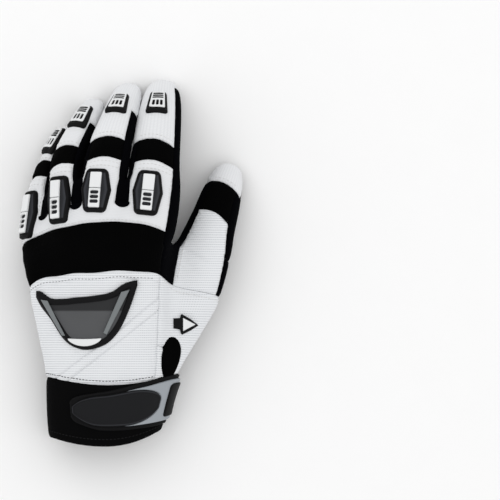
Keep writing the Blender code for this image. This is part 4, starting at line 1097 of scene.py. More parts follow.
    def ribs(self, points: Array, sheet: Sheet) -> Array:
        """Ribs across the panel, flat hems at its top and a flat strip across it.

        Formula: the size of sin(pi y / pitch), lost within the hem's width of the top edge and within
        half the strip's width of its line; each of these is edged by a furrow.
        """
        shown = smooth_step(self.seam_distance, 0.0006, 0.0018)
        furrows = np.zeros(len(points))
        if self.name == "back_panel":
            top = sheet.lattice[:, 1] >= BACK_SEAM_ROW - 1e-6
            hem = distances(points, points[top])
            shown = shown * smooth_step(hem, self.hem_width, self.hem_width + 0.0008)
            furrows = furrows - 0.00035 * np.exp(-((hem - self.hem_width) / 0.0005) ** 2)
            start, end = np.array(self.strip[0]), np.array(self.strip[1])
            along = unit(end - start)
            away = np.abs((points[:, :2] - start) @ np.array([-along[1], along[0]]))
            half = self.strip_width / 2
            shown = shown * smooth_step(away, half, half + 0.0006)
            furrows = furrows - 0.00060 * np.exp(-((away - half) / 0.0006) ** 2)
            furrows = furrows + 0.00045 * (1 - smooth_step(away, half - 0.0008, half))
        rib = np.abs(np.sin(np.pi * points[:, 1] / self.rib_pitch)) ** 0.8
        return self.rib_height * rib * shown + furrows

    def pattern(self, sheet: Sheet) -> Array:
        """Where each point lies on the cloth: columns and rows of the form at their mean widths.

        A ribbed cloth keeps its own y, so that the finish's valleys fall between its ribs.
        """
        corner = sheet.points[sheet.quads]
        lattice = sheet.lattice[sheet.quads]
        length = np.linalg.norm(np.roll(corner, -1, axis=1) - corner, axis=-1)
        change = np.abs(np.roll(lattice, -1, axis=1) - lattice)
        scale = [length[change[..., axis] > 1e-6].sum() / max(change[..., axis].sum(), 1e-9)
                 for axis in (0, 1)]
        pattern = sheet.lattice * np.array(scale)
        if self.relief is Relief.RIBBED:
            pattern[:, 1] = sheet.points[:, 1]
        return pattern

    def line(self, row: float, columns: tuple[float, float], inset: float = 0.0) -> tuple[Array, Array]:
        """A line of the panel's face along a row of the form, from one column to another.

        Args:
            row: The row of the form.
            columns: The first and the last column.
            inset: How much is left off at each end, in columns.

        Returns:
            The line's points and outward directions, in order of their columns.
        """
        return self.lattice_line(1, row, (columns[0] + inset, columns[1] - inset))

    def column_line(self, column: float, rows: tuple[float, float]) -> tuple[Array, Array]:
        """A line of the panel's face along a column of the form."""
        return self.lattice_line(0, column, rows)

    def lattice_line(self, axis: int, value: float, span: tuple[float, float]) -> tuple[Array, Array]:
        """A line of the face at a value of one lattice axis, sorted along the other."""
        lattice = self.sheet.lattice
        values = np.unique(np.round(lattice[:, axis], 5))
        nearest = values[np.abs(values - value).argmin()]
        along = lattice[:, 1 - axis]
        kept = np.nonzero((np.abs(lattice[:, axis] - nearest) < 1e-4) & (along >= span[0] - 1e-6)
                          & (along <= span[1] + 1e-6))[0]
        kept = kept[np.argsort(along[kept])]
        return self.outer[kept], self.sheet.normals[kept]


class GlovePanels:
    """All the sewn panels of the glove."""

    def __init__(self, form: HandForm) -> None:
        stretch, ribbed = Relief.STRETCH, Relief.RIBBED
        fingers = DIGIT_NAMES[:4]
        panels = [
            ClothPanel("cuff", NEOPRENE, 0.0028, crown=0.0008),
            ClothPanel("palm", SUEDE, 0.0014, crown=0.0003),
            ClothPanel("palm_heel", SUEDE, 0.0014, crown=0.0003),
            ClothPanel("thumb_underside", SUEDE, 0.0014, crown=0.0003),
            ClothPanel("back_panel", RIBBED_MESH, 0.0015, ribbed, crown=0.0009),
            ClothPanel("knuckle_stretch_panel", ELASTIC, 0.0018, stretch, crown=0.0007),
            ClothPanel("knuckle_panel", KNIT, 0.0015, crown=0.0008),
            ClothPanel("index_side_strip", SUEDE, 0.0014),
            ClothPanel("thumb_base_panel", RIBBED_MESH, 0.0015, ribbed, crown=0.0009),
            ClothPanel("thumb_panel", RIBBED_MESH, 0.0015, ribbed, crown=0.0009),
            ClothPanel("thumb_stretch_panel", ELASTIC, 0.0018, stretch),
            ClothPanel("thumb_tip_panel", KNIT, 0.0015),
            ClothPanel("wrist_gusset", RIBBED_MESH, 0.0015, ribbed, surround=True),
        ]
        panels += [ClothPanel("finger_stretch_" + name, ELASTIC, 0.0018, stretch) for name in fingers]
        panels += [ClothPanel("fingertip_panel_" + name, KNIT, 0.0015, crown=0.0007) for name in fingers]
        panels += [ClothPanel("finger_underside_" + name, SUEDE, 0.0014, crown=0.0003) for name in fingers]
        panels += [ClothPanel(name, SUEDE, 0.0014, crown=0.0002) for name in BETWEEN_FINGERS.values()]
        self.panels = {panel.name: panel.build(form) for panel in panels}

    def __getitem__(self, name: str) -> ClothPanel:
        """One panel by its name."""
        return self.panels[name]


# Sewing


@dataclass
class StitchRows:
    """Rows of stitches in one thread, as one piece.

    Formula: each stitch is a capsule whose rings shrink as a half circle towards its ends; it lies at an
    even step along its line, turned to the line's direction and to the outward direction there.
    """

    name: str
    finish: Finish
    step: float = 0.0024
    length: float = 0.0017
    width: float = 0.00050
    height: float = 0.00034
    rows: list[tuple[Array, Array]] = field(default_factory=list)

    def add(self, line: tuple[Array, Array]) -> "StitchRows":
        """Add a row along a line of points with outward directions."""
        points, normals = line
        if len(points) < 3:
            return self
        lengths = np.concatenate([[0.0], np.cumsum(np.linalg.norm(np.diff(points, axis=0), axis=1))])
        count = max(2, int(lengths[-1] / self.step))
        places = (np.arange(count) + 0.5) * lengths[-1] / count

        def read(values: Array, shift: float = 0.0) -> Array:
            return np.stack([np.interp(places + shift, lengths, values[:, axis]) for axis in range(3)], -1)

        forward = unit(read(points, 0.0004) - read(points, -0.0004))
        self.rows.append((read(points), np.concatenate([forward, unit(read(normals))], 1)))
        return self

    def build(self) -> bpy.types.Object:
        """Make all the rows as one piece."""
        ring, along = 6, np.array([-1.0, -0.8, 0.0, 0.8, 1.0])
        swell = np.sqrt(np.maximum(1 - along ** 2, 0.06))
        angle = np.arange(ring) * math.tau / ring
        capsule = np.stack(np.broadcast_arrays(
            along[:, None] * self.length / 2, swell[:, None] * np.cos(angle) * self.width / 2,
            swell[:, None] * np.sin(angle) * self.height), -1).reshape(-1, 3)
        place = np.concatenate([row[0] for row in self.rows])
        frames = np.concatenate([row[1] for row in self.rows])
        forward, out = frames[:, :3], frames[:, 3:]
        side = unit(np.cross(out, forward))
        forward = np.cross(side, out)
        axes = np.stack([forward, side, out], 1)
        points = (place[:, None] + capsule @ axes).reshape(-1, 3)
        points[:, 2] = np.maximum(points[:, 2], 0.0)
        corner = np.arange(len(along) * ring).reshape(-1, ring)
        after = np.roll(corner, -1, axis=1)
        sides = np.stack([corner[:-1], after[:-1], after[1:], corner[1:]], -1).reshape(-1, 4)
        ends = np.array([[3, 2, 1, 0], [5, 4, 3, 0]])
        faces = np.concatenate([sides, ends, (len(along) * ring - 1) - ends])
        first = facing_out(capsule, faces)
        quads = (first + np.arange(len(place))[:, None, None] * len(capsule)).reshape(-1, 4)
        return add_piece(self.name, points, quads, self.finish)


# Moulded pieces


@dataclass
class SlotEnds:
    """The rounded ends of the black slots between the knuckle panel's tongues."""

    depth: float = 0.0030
    height: float = 0.0009
    foot: float = 0.0012

    def build(self, form: HandForm, panels: GlovePanels) -> None:
        """Make a half oval of suede at the lower end of each slot.

        Formula: at share s of the slot's width the oval reaches down by its depth times the root of
        one less the square of 2 s - 1.
        """
        for column, name in BETWEEN_FINGERS.items():
            points, normals = panels[name].line(STRETCH_SEAM_ROW + 1, (column, column + 1))
            right = unit(points[-1] - points[0])
            out = unit(normals.mean(axis=0))
            forward = unit(np.cross(out, right))
            half = np.linalg.norm(points[-1] - points[0]) / 2 + 0.0003
            chart = FlatChart(form, (points[0] + points[-1]) / 2, unit(np.cross(forward, out)), forward,
                              (2.5 * half, 2.5 * half), 0.01)

            def lower(s: Array, half: float = half) -> tuple[Array, Array]:
                return (2 * s - 1) * half, -self.depth * np.sqrt(np.maximum(1 - (2 * s - 1) ** 2, 0.0))

            def upper(s: Array, half: float = half) -> tuple[Array, Array]:
                return (2 * s - 1) * half, np.full_like(s, 0.0006)

            def relief(s: Array, t: Array, a: Array, b: Array, half: float = half) -> Array:
                away = np.maximum(1 - np.hypot(a / half, np.minimum(b, 0.0) / self.depth), 0.0) * half
                return self.height * edge_roll(away, 0.0007, 0.3)

            Moulding(name.replace("fourchette", "slot_end"), SUEDE, lower, upper, relief, steps=(36, 20),
                     foot=self.foot).build(chart)


@dataclass
class GussetOval:
    """The oval of black elastic that is sewn in at the thumb side of the wrist."""

    middle: tuple[float, float] = (0.404, 0.2400)
    half_width: float = 0.0072
    half_length: float = 0.0138
    height: float = 0.0014
    tilt: float = 38.0

    def build(self, form: HandForm) -> None:
        """Make the oval on a chart that is tilted as the wrist's side is."""
        spot = np.array(self.middle) * [form.palm_width, form.glove_length] + form.shift[:2]
        upper = form.outward[:, 2] > 0.2
        near = form.skin[upper]
        origin = near[np.linalg.norm(near[:, :2] - spot, axis=1).argmin()]
        tilt = math.radians(self.tilt)
        chart = FlatChart(form, origin, np.array([math.cos(tilt), 0.0, -math.sin(tilt)]),
                          ALONG, (1.8 * self.half_width, 1.3 * self.half_length), 0.02)

        def edge(sign: float) -> Edge:
            return lambda s: (sign * self.half_width * np.sqrt(np.maximum(1 - (2 * s - 1) ** 2, 0.0004)),
                              (2 * s - 1) * self.half_length)

        def relief(s: Array, t: Array, a: Array, b: Array) -> Array:
            away = (1 - np.hypot(a / self.half_width, b / self.half_length)) * self.half_width
            furrow = 0.0004 * np.exp(-((away - 0.0011) / 0.0004) ** 2)
            return self.height * edge_roll(np.maximum(away, 0.0), 0.0012, 0.2) - furrow

        piece = Moulding("wrist_gusset_cloth", ELASTIC, edge(-1.0), edge(1.0), relief,
                         steps=(90, 50)).build(chart)
        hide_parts("wrist_gusset")


@dataclass
class FingerGuards:
    """The moulded guards on the knuckles and the fingertips, with their slotted white inlays."""

    width: float = 0.0195
    length: float = 0.0284
    height: float = 0.0036
    tip_width: float = 0.0145
    tip_length: float = 0.0185
    tip_height: float = 0.0026
    inlay_height: float = 0.0011
    tip_inlay_height: float = 0.0005
    tip_shift: float = 0.05
    places: tuple[float, ...] = (1.15, 1.18, 1.22, 1.22)
    tip_place: float = 3.17
    offsets: tuple[float, ...] = (0.0012, 0.0010, -0.0014, -0.0015)
    tip_offsets: tuple[float, ...] = (0.0008, 0.0002, -0.0010, -0.0018)
    drop: float = 0.13
    scales: tuple[tuple[float, float], ...] = ((0.85, 1.10), (0.93, 1.08), (1.0, 1.0), (1.0, 1.02))

    def chart(self, form: HandForm, digit: int, place: float, offset: float, width: float,
              length: float) -> FlatChart:
        """The chart over a digit's back at a place along its key sections, moved to its right."""
        back, right, forward, _, _ = form.section(digit, place)
        right, forward = unit(right * form.stretch), unit(forward * form.stretch)
        forward = unit(np.cross(np.cross(right, forward), right))
        return FlatChart(form, back * form.stretch + form.shift + right * offset, right, forward,
                         (width * 0.62, length * 0.75), self.drop * width)

    def knuckle(self, form: HandForm, digit: int) -> None:
        """One knuckle guard: a long hexagon with a raised rim and two sloping facets, and its inlay."""
        scale, name = self.scales[digit], DIGIT_NAMES[digit]
        width, length, height = self.width * scale[0], self.length * scale[1], self.height
        chart = self.chart(form, digit, self.places[digit], self.offsets[digit], width, length)
        box_width, box_length = 0.38 * width, 0.80 * length

        def half(s: Array) -> Array:
            wide = np.interp(s, [0.0, 0.52, 1.0], [0.37, 0.5, 0.35]) * width
            return wide - corner_cut(np.minimum(s, 1 - s) * length, 0.16 * width)

        def parts(s: Array, a: Array) -> tuple[Array, Array, Array]:
            reach = half(s)
            ends = np.minimum(s, 1 - s) * length
            edge = np.minimum(reach - np.abs(a), ends)
            inner = np.minimum(reach - np.abs(a) - 0.0018, ends - 0.0030)
            slope = np.clip((np.abs(a) - box_width / 2) / np.maximum(reach - box_width / 2, 1e-5), 0.0, 1.0)
            return edge, smooth_step(inner, -0.0002, 0.0003), slope

        def relief(s: Array, t: Array, a: Array, b: Array) -> Array:
            edge, inside, slope = parts(s, a)
            crown = height * (1.0 - 0.50 * slope)
            rim = height * (0.68 + 0.10 * np.exp(-((edge - 0.0012) / 0.0007) ** 2))
            return (rim * (1 - inside) + np.minimum(crown, height * 0.98) * inside) * edge_roll(edge, 0.0009)

        # Painted highlight: the facets inside the rim are painted lighter, most in a streak along each
        # sloping facet
        def tone(s: Array, t: Array, a: Array, b: Array) -> Array:
            _, inside, slope = parts(s, a)
            highlight_streak = 0.45 + 0.55 * np.exp(-((slope - 0.55 + 0.35 * np.abs(s - 0.5)) / 0.16) ** 2)
            return inside * highlight_streak

        piece = Moulding("knuckle_guard_shell_" + name, BLACK_RUBBER, *spindle(half, length), relief,
                         steps=(80, 62), crowd=(0.35, 0.35), tone=tone).build(chart)
        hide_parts("knuckle_guard_" + name)

        def face(s: Array, t: Array, a: Array, b: Array) -> Array:
            across, along = (t - 0.5) * box_width, (s - 0.5) * box_length
            edge = np.minimum(box_width / 2 - np.abs(across), box_length / 2 - np.abs(along))
            slot = (0.37 * box_width, 0.048 * box_length)
            slots = np.min([pill(across, along, (0.0, middle * box_length), slot)
                            for middle in (-0.075, -0.205, -0.335)], axis=0)
            groove = np.exp(-((along - 0.045 * box_length) / 0.00022) ** 2)
            plate = height + self.inlay_height * edge_roll(edge, 0.0005, 0.3) - 0.0016 * groove
            return np.where(slots < 0.00025, height - 0.0006 + (plate - height + 0.0006)
                            * smooth_step(slots, -0.00010, 0.00015), plate)

        self.box_piece("knuckle_inlay_plate_" + name, chart, box_width, box_length, 1.0, face,
                       height - 0.0006, "knuckle_inlay_" + name, (100, 40))

    def box_piece(self, name: str, chart: FlatChart, width: float, length: float, taper: float,
                  relief: Shape, base: float, node: str,
                  steps: tuple[int, int], forward: float = 0.0) -> None:
        """A white plate on a guard: a box that narrows forward by the taper, with rounded corners."""
        def half(s: Array) -> Array:
            wide = width / 2 * (1 + (taper - 1) * s)
            return wide - corner_cut(np.minimum(s, 1 - s) * length, 0.0007)
        piece = Moulding(name, WHITE_RUBBER, *spindle(half, length, forward), relief, steps=steps,
                         crowd=(0.12, 0.15), foot=-base).build(chart)
        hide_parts(node)

    def fingertip(self, form: HandForm, digit: int) -> None:
        """One fingertip guard: a rounded wedge that narrows to the tip, and its inlay with six slots."""
        scale, name = self.scales[digit], DIGIT_NAMES[digit]
        width, length, height = self.tip_width * scale[0], self.tip_length * scale[1], self.tip_height
        chart = self.chart(form, digit, self.tip_place, self.tip_offsets[digit], width, length)
        box_width, box_length = 0.70 * width, 0.74 * length

        def half(s: Array) -> Array:
            return width * (0.5 - 0.15 * s) - corner_cut(np.minimum(s, 1 - s) * length, 0.16 * width)

        def relief(s: Array, t: Array, a: Array, b: Array) -> Array:
            edge = np.minimum(half(s) - np.abs(a), np.minimum(s, 1 - s) * length)
            return height * (0.72 + 0.28 * smooth_step(edge, 0.0009, 0.0016)) * edge_roll(edge, 0.0008)

        piece = Moulding("fingertip_guard_shell_" + name, BLACK_RUBBER, *spindle(half, length), relief,
                         steps=(50, 42), crowd=(0.35, 0.35)).build(chart)
        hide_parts("fingertip_guard_" + name)

        def face(s: Array, t: Array, a: Array, b: Array) -> Array:
            across, along = (t - 0.5) * box_width, (s - 0.5) * box_length
            edge = np.minimum(box_width / 2 - np.abs(across), box_length / 2 - np.abs(along))
            level = [pill(across, along, (0.0, middle * box_length), (0.40 * box_width, 0.052 * box_length))
                     for middle in (0.11, 0.235, 0.36)]
            upright = [pill(across, along, (middle * box_width, -0.22 * box_length),
                            (0.085 * box_width, 0.17 * box_length)) for middle in (-0.26, 0.0, 0.26)]
            slots = np.min(level + upright, axis=0)
            plate = height + self.tip_inlay_height * edge_roll(edge, 0.0004, 0.3)
            return np.where(slots < 0.0002, height - 0.0006 + (plate - height + 0.0006)
                            * smooth_step(slots, -0.00008, 0.00012), plate)

        self.box_piece("fingertip_inlay_plate_" + name, chart, box_width, box_length, 0.76, face,
                       height - 0.0006, "fingertip_inlay_" + name, (84, 56), self.tip_shift * length)

    def build(self, form: HandForm) -> None:
        """All eight guards."""
        for digit in range(4):
            self.knuckle(form, digit)
            self.fingertip(form, digit)


@dataclass
class BackGuard:
    """The horned shield over the back of the hand, with its raised rim and three grey inlays.

    Each row of its outline gives a place across, as a share of the palm's width, and its upper and
    lower edge along, as shares of the glove's length.
    """

    height: float = 0.0034
    rim: float = 0.0040
    strip_edge: float = 0.0024
    inlay_height: float = 0.0009
    outline: tuple = (
        (-0.415, 0.4260, 0.4080), (-0.380, 0.4230, 0.3800), (-0.325, 0.4060, 0.3480),
        (-0.250, 0.4045, 0.2960), (-0.180, 0.4075, 0.2720), (-0.095, 0.4110, 0.2650),
        (0.000, 0.4170, 0.2770), (0.060, 0.4260, 0.2980), (0.110, 0.4420, 0.3300),
        (0.160, 0.4515, 0.3800), (0.205, 0.4550, 0.4400))
    wedges: tuple = (
        ("back_guard_inlay_left", ((-0.388, 0.402), (-0.345, 0.399), (-0.236, 0.303), (-0.258, 0.304))),
        ("back_guard_inlay_right", ((0.158, 0.429), (0.106, 0.423), (-0.004, 0.311), (0.018, 0.306))))
    crescent_ends: tuple = ((-0.222, 0.2960), (-0.016, 0.2965))
    crescent_depth: float = 0.0050

    def build(self, form: HandForm) -> None:
        """Make the shield and its inlays on a level chart."""
        origin = np.array([0.0, 0.0, form.knuckle_height]) + form.shift
        middle = np.array([-0.10 * form.palm_width, 0.36 * form.glove_length, 0.0])
        chart = FlatChart(form, origin + middle, ACROSS, ALONG,
                          (0.045, 0.034), 0.04)
        rows = np.array(self.outline) * [form.palm_width, form.glove_length, form.glove_length]
        rows[:, 0] -= middle[0]
        rows[:, 1:] -= middle[1]
        dense, _ = eased(rows, np.linspace(0, len(rows) - 1, 200))
        dense = dense[np.argsort(dense[:, 0])]

        def edges(s: Array) -> tuple[Array, Array, Array]:
            x = dense[0, 0] + (dense[-1, 0] - dense[0, 0]) * s
            return x, np.interp(x, dense[:, 0], dense[:, 1]), np.interp(x, dense[:, 0], dense[:, 2])

        fine = np.linspace(0, 1, 240)
        x, upper, lower = edges(fine)
        outline = np.concatenate([np.stack([x, upper], -1), np.stack([x, lower], -1)])

        def relief(s: Array, t: Array, a: Array, b: Array) -> Array:
            flat = np.stack([a.ravel(), b.ravel()], -1)
            edge = distances(flat, outline).reshape(a.shape)
            inside = smooth_step(edge, self.rim - 0.0006, self.rim + 0.0002)
            bank = 1.0 - 0.10 * ((edge - self.rim * 0.5) / (self.rim * 0.5)) ** 2 * (edge < self.rim)
            strip = 0.08 * smooth_step(b, self.strip_edge, self.strip_edge + 0.0006)
            return self.height * (bank - (0.36 - strip) * inside) * edge_roll(edge, 0.0011, 0.3)

        def tone(s: Array, t: Array, a: Array, b: Array) -> Array:
            flat = np.stack([a.ravel(), b.ravel()], -1)
            edge = distances(flat, outline).reshape(a.shape)
            below = 1 - 0.72 * smooth_step(b, self.strip_edge - 0.0004, self.strip_edge + 0.0008)
            return smooth_step(edge, self.rim - 0.0003, self.rim + 0.0003) * below

        def lower_edge(s: Array) -> tuple[Array, Array]:
            x, _, low = edges(s)
            return x, low

        def upper_edge(s: Array) -> tuple[Array, Array]:
            x, high, _ = edges(s)
            return x, high

        piece = Moulding("back_guard_shell", FIELD_RUBBER, lower_edge, upper_edge, relief,
                         steps=(170, 84), crowd=(0.3, 0.3), tone=tone).build(chart)
        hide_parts("back_guard")
        for name, corners in self.wedges:
            flat = np.array(corners) * [form.palm_width, form.glove_length] - middle[:2]
            self.wedge(chart, name, flat)
        self.crescent(chart, np.array(self.crescent_ends) * [form.palm_width, form.glove_length] - middle[:2])

    def crescent(self, chart: FlatChart, ends: Array) -> None:
        """The white inlay at the shield's foot: a sagging upper edge and a lower one that bows further.

        Formula: each edge lies below the line between the ends by its depth times sin(pi s) to a power.
        """
        def edge(sag: float, power: float) -> Edge:
            def line(s: Array) -> tuple[Array, Array]:
                place = ends[0] + (ends[1] - ends[0]) * s[:, None]
                return place[:, 0], place[:, 1] - sag * np.sin(np.pi * s) ** power
            return line

        def relief(s: Array, t: Array, a: Array, b: Array) -> Array:
            span = np.sin(np.pi * np.clip(s, 0.02, 0.98)) ** 0.55 * (self.crescent_depth - 0.0004)
            away = np.minimum(t, 1 - t) * span
            return self.height * 0.92 + self.inlay_height * edge_roll(away, 0.0006, 0.2)

        piece = Moulding("back_guard_inlay_base_plate", WHITE_RUBBER, edge(self.crescent_depth, 0.55),
                         edge(0.0004, 1.0), relief, steps=(70, 24), foot=-self.height * 0.45).build(chart)
        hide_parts("back_guard_inlay_base")

    def wedge(self, chart: FlatChart, name: str, corner: Array) -> None:
        """A thin four-cornered inlay: its first two corners are its wide end and its last two the other."""
        length = np.linalg.norm(corner[0] - corner[3])

        def side(first: int, last: int) -> Edge:
            def edge(s: Array) -> tuple[Array, Array]:
                line = corner[first] + (corner[last] - corner[first]) * s[:, None]
                return line[:, 0], line[:, 1]
            return edge

        def relief(s: Array, t: Array, a: Array, b: Array) -> Array:
            span = (np.linalg.norm(corner[0] - corner[1]) * (1 - s)
                    + np.linalg.norm(corner[3] - corner[2]) * s)
            edge = np.minimum(np.minimum(t, 1 - t) * span, np.minimum(s, 1 - s) * length)
            return self.height * 0.92 + self.inlay_height * edge_roll(edge, 0.0006, 0.2)

        piece = Moulding(name + "_plate", GREY_RUBBER, side(0, 3), side(1, 2), relief, steps=(60, 20),
                         foot=-self.height * 0.45).build(chart)
        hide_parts(name)


@dataclass
class PullTab:
    """The triangular pull tab on its stem, at the thumb side of the back panel."""

    height: float = 0.0022
    middle: tuple[float, float] = (0.500, 0.334)
    triangle_span: tuple[float, float] = (-0.0016, 0.0060)
    # Across, and the lower and upper edge along, from the stem's end to the point
    outline: tuple = (
        (0.425, 0.323, 0.351), (0.465, 0.320, 0.352), (0.4720, 0.308, 0.362),
        (0.480, 0.306, 0.362), (0.530, 0.317, 0.349), (0.578, 0.3305, 0.3325))

    def build(self, form: HandForm) -> None:
        """Make the tab as a band from its stem to its point, and the white triangle on it."""
        centre = np.array([self.middle[0] * form.palm_width, self.middle[1] * form.glove_length, 0.0])
        origin = centre + form.shift + [0, 0, form.knuckle_height]
        chart = FlatChart(form, origin, ACROSS, ALONG, (0.013, 0.012), 0.04)
        rows = (np.array(self.outline) * [form.palm_width, form.glove_length, form.glove_length]
                - centre[[0, 1, 1]])

        def edge(column: int) -> Edge:
            def line(s: Array) -> tuple[Array, Array]:
                x = rows[0, 0] + (rows[-1, 0] - rows[0, 0]) * s
                return x, np.interp(x, rows[:, 0], rows[:, column])
            return line

        def relief(s: Array, t: Array, a: Array, b: Array) -> Array:
            span = edge(2)(s)[1] - edge(1)(s)[1]
            away = np.minimum(np.minimum(t, 1 - t) * span, np.minimum(s, 1 - s) * 0.015)
            return self.height * edge_roll(away, 0.0008, 0.3)

        piece = Moulding("pull_tab_body", BLACK_RUBBER, edge(1), edge(2), relief, steps=(70, 34)).build(chart)
        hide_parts("pull_tab")
        start, point = self.triangle_span

        def inlay_edge(sign: float) -> Edge:
            return lambda s: (start + (point - start) * s, sign * 0.0040 * (1.04 - s))

        def inlay_relief(s: Array, t: Array, a: Array, b: Array) -> Array:
            away = np.minimum(np.minimum(t, 1 - t) * 0.0080 * (1.04 - s), np.minimum(s, 1 - s) * 0.006)
            return self.height + 0.0007 * edge_roll(away, 0.0005, 0.1)

        piece = Moulding("pull_tab_triangle", WHITE_RUBBER, inlay_edge(-1.0), inlay_edge(1.0), inlay_relief,
                         steps=(40, 30), foot=-self.height * 0.7).build(chart)
        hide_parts("pull_tab_inlay")


@dataclass
class WristStrap:
    """The closing strap round the wrist, with the moulded field, the wing and the inset on it.

    Each row of its outline gives a turn in degrees from the thumb side over the back, and its edges
    along, as shares of the glove's length.
    """

    thickness: float = 0.0020
    shield_height: float = 0.0026
    wing_height: float = 0.0020
    inset_height: float = 0.0011
    mean_width: float = 0.026
    # The turns between which the strap and each piece on it lie
    strap_turns: tuple[float, float] = (139.0, -26.0)
    field_turns: tuple[float, float] = (134.0, 26.0)
    wing_turns: tuple[float, float] = (74.0, -9.0)
    inset_turns: tuple[float, float] = (19.0, 1.0)
    outline: tuple = (
        (139, 0.085, 0.121), (134, 0.068, 0.134), (124, 0.058, 0.141), (112, 0.050, 0.145),
        (100, 0.045, 0.149), (88, 0.044, 0.152), (76, 0.044, 0.157), (64, 0.045, 0.163),
        (52, 0.047, 0.170), (40, 0.050, 0.178), (28, 0.054, 0.188), (14, 0.060, 0.198),
        (0, 0.066, 0.200), (-14, 0.072, 0.200), (-26, 0.076, 0.198))

    def edges(self, form: HandForm, turn: Array) -> tuple[Array, Array]:
        """The strap's lower and upper edge at turns, in metres along."""
        rows = np.array(self.outline)[::-1]
        dense, _ = eased(rows, np.linspace(0, len(rows) - 1, 240))
        dense = dense[np.argsort(dense[:, 0])]
        return tuple(np.interp(turn, dense[:, 0], dense[:, column]) * form.glove_length + form.shift[1]
                     for column in (1, 2))

    def band(self, form: HandForm, turns: tuple[float, float], inset: Callable[[Array], Array],
             upper: bool) -> Edge:
        """One edge of a piece on the strap: the strap's own edge drawn in by a share of its width."""
        def edge(s: Array) -> tuple[Array, Array]:
            turn = turns[0] + (turns[1] - turns[0]) * s
            low, high = self.edges(form, turn)
            share = inset(s) if not upper else 1 - inset(s)
            return turn, low + (high - low) * share
        return edge

    def piece(self, chart: WrapChart, form: HandForm, name: str, node: str, finish: Finish,
              turns: tuple[float, float], inset: Callable[[Array], Array],
              relief: Shape, foot: float,
              steps: tuple[int, int], tone: Shape | None = None) -> None:
        """One moulded piece wrapped round the wrist."""
        made = Moulding(name, finish, self.band(form, turns, inset, False),
                        self.band(form, turns, inset, True), relief, steps=steps, crowd=(0.4, 0.4), foot=foot,
                        tone=tone).build(chart)
        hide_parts(node)

    def build(self, form: HandForm) -> None:
        """Make the strap and what is moulded on it."""
        chart, width = WrapChart(form), self.mean_width

        def depth(s: Array, t: Array, inset: Array, arc: float) -> Array:
            return np.minimum(np.minimum(t, 1 - t) * (1 - 2 * inset) * width, np.minimum(s, 1 - s) * arc)

        def strap_relief(s: Array, t: Array, a: Array, b: Array) -> Array:
            away = depth(s, t, np.zeros_like(s), 0.110)
            binding = 0.00025 * np.exp(-((away - 0.0016) / 0.0009) ** 2)
            return self.thickness * edge_roll(away, 0.0009, 0.3) + binding

        self.piece(chart, form, "strap_band", "strap", STRAP_WEB, self.strap_turns, np.zeros_like,
                   strap_relief, 0.0003, (180, 34))

        def oval(s: Array) -> Array:
            return oval_inset(s, (0.26, 0.34), 0.10, 0.46)

        def field_depth(s: Array, t: Array) -> Array:
            return depth(s, t, oval(s), 0.078)

        def field_relief(s: Array, t: Array, a: Array, b: Array) -> Array:
            away = field_depth(s, t)
            rim = 0.20 * np.exp(-((away - 0.0010) / 0.0005) ** 2)
            level = 0.75 + rim + 0.10 * smooth_step(away, 0.002, 0.006)
            return self.thickness + self.shield_height * level * edge_roll(away, 0.0008, 0.2)

        # Painted highlight: a thin lighter ring on the field's raised rim; the field inside it is slightly
        # lighter as well
        def field_tone(s: Array, t: Array, a: Array, b: Array) -> Array:
            away = field_depth(s, t)
            return 0.16 * smooth_step(away, 0.0012, 0.0022) + 0.75 * np.exp(-((away - 0.0010) / 0.0004) ** 2)

        self.piece(chart, form, "strap_field", "strap_shield", BLACK_RUBBER, self.field_turns, oval,
                   field_relief, -self.thickness * 0.6, (170, 60), field_tone)

        def wing(s: Array) -> Array:
            return oval_inset(s, (0.30, 0.12), 0.09, 0.14)

        def wing_relief(s: Array, t: Array, a: Array, b: Array) -> Array:
            """Full outside the field's oval and sunk within it, so that two prongs reach round it."""
            first, last = self.field_turns
            place = np.clip((first - a) / (first - last), 0.0, 1.0)
            share = wing(s) + (1 - 2 * wing(s)) * t
            beyond = (np.abs(share - 0.5) - (0.5 - oval(place))) * width
            beyond = np.where(a < last, np.maximum(beyond, (last - a) * 0.0006), beyond)
            shown = smooth_step(beyond, -0.0006, 0.0002)
            away = depth(s, t, wing(s), 0.046)
            return (self.thickness + self.wing_height * shown * edge_roll(away, 0.0008, 0.2)
                    - 0.0006 * (1 - shown))

        self.piece(chart, form, "strap_wing_plate", "strap_wing", PALE_RUBBER, self.wing_turns, wing,
                   wing_relief, -self.thickness * 0.5, (140, 68))

        def inset(s: Array) -> Array:
            return oval_inset(s, (0.2, 0.2), 0.17, 0.24)

        def inset_relief(s: Array, t: Array, a: Array, b: Array) -> Array:
            away = depth(s, t, inset(s), 0.012)
            return self.thickness + self.wing_height + self.inset_height * edge_roll(away, 0.0007, 0.2)

        self.piece(chart, form, "strap_inset_plate", "strap_inset", BLACK_RUBBER, self.inset_turns, inset,
                   inset_relief, -(self.thickness + self.wing_height * 0.7), (60, 50))


# Studio


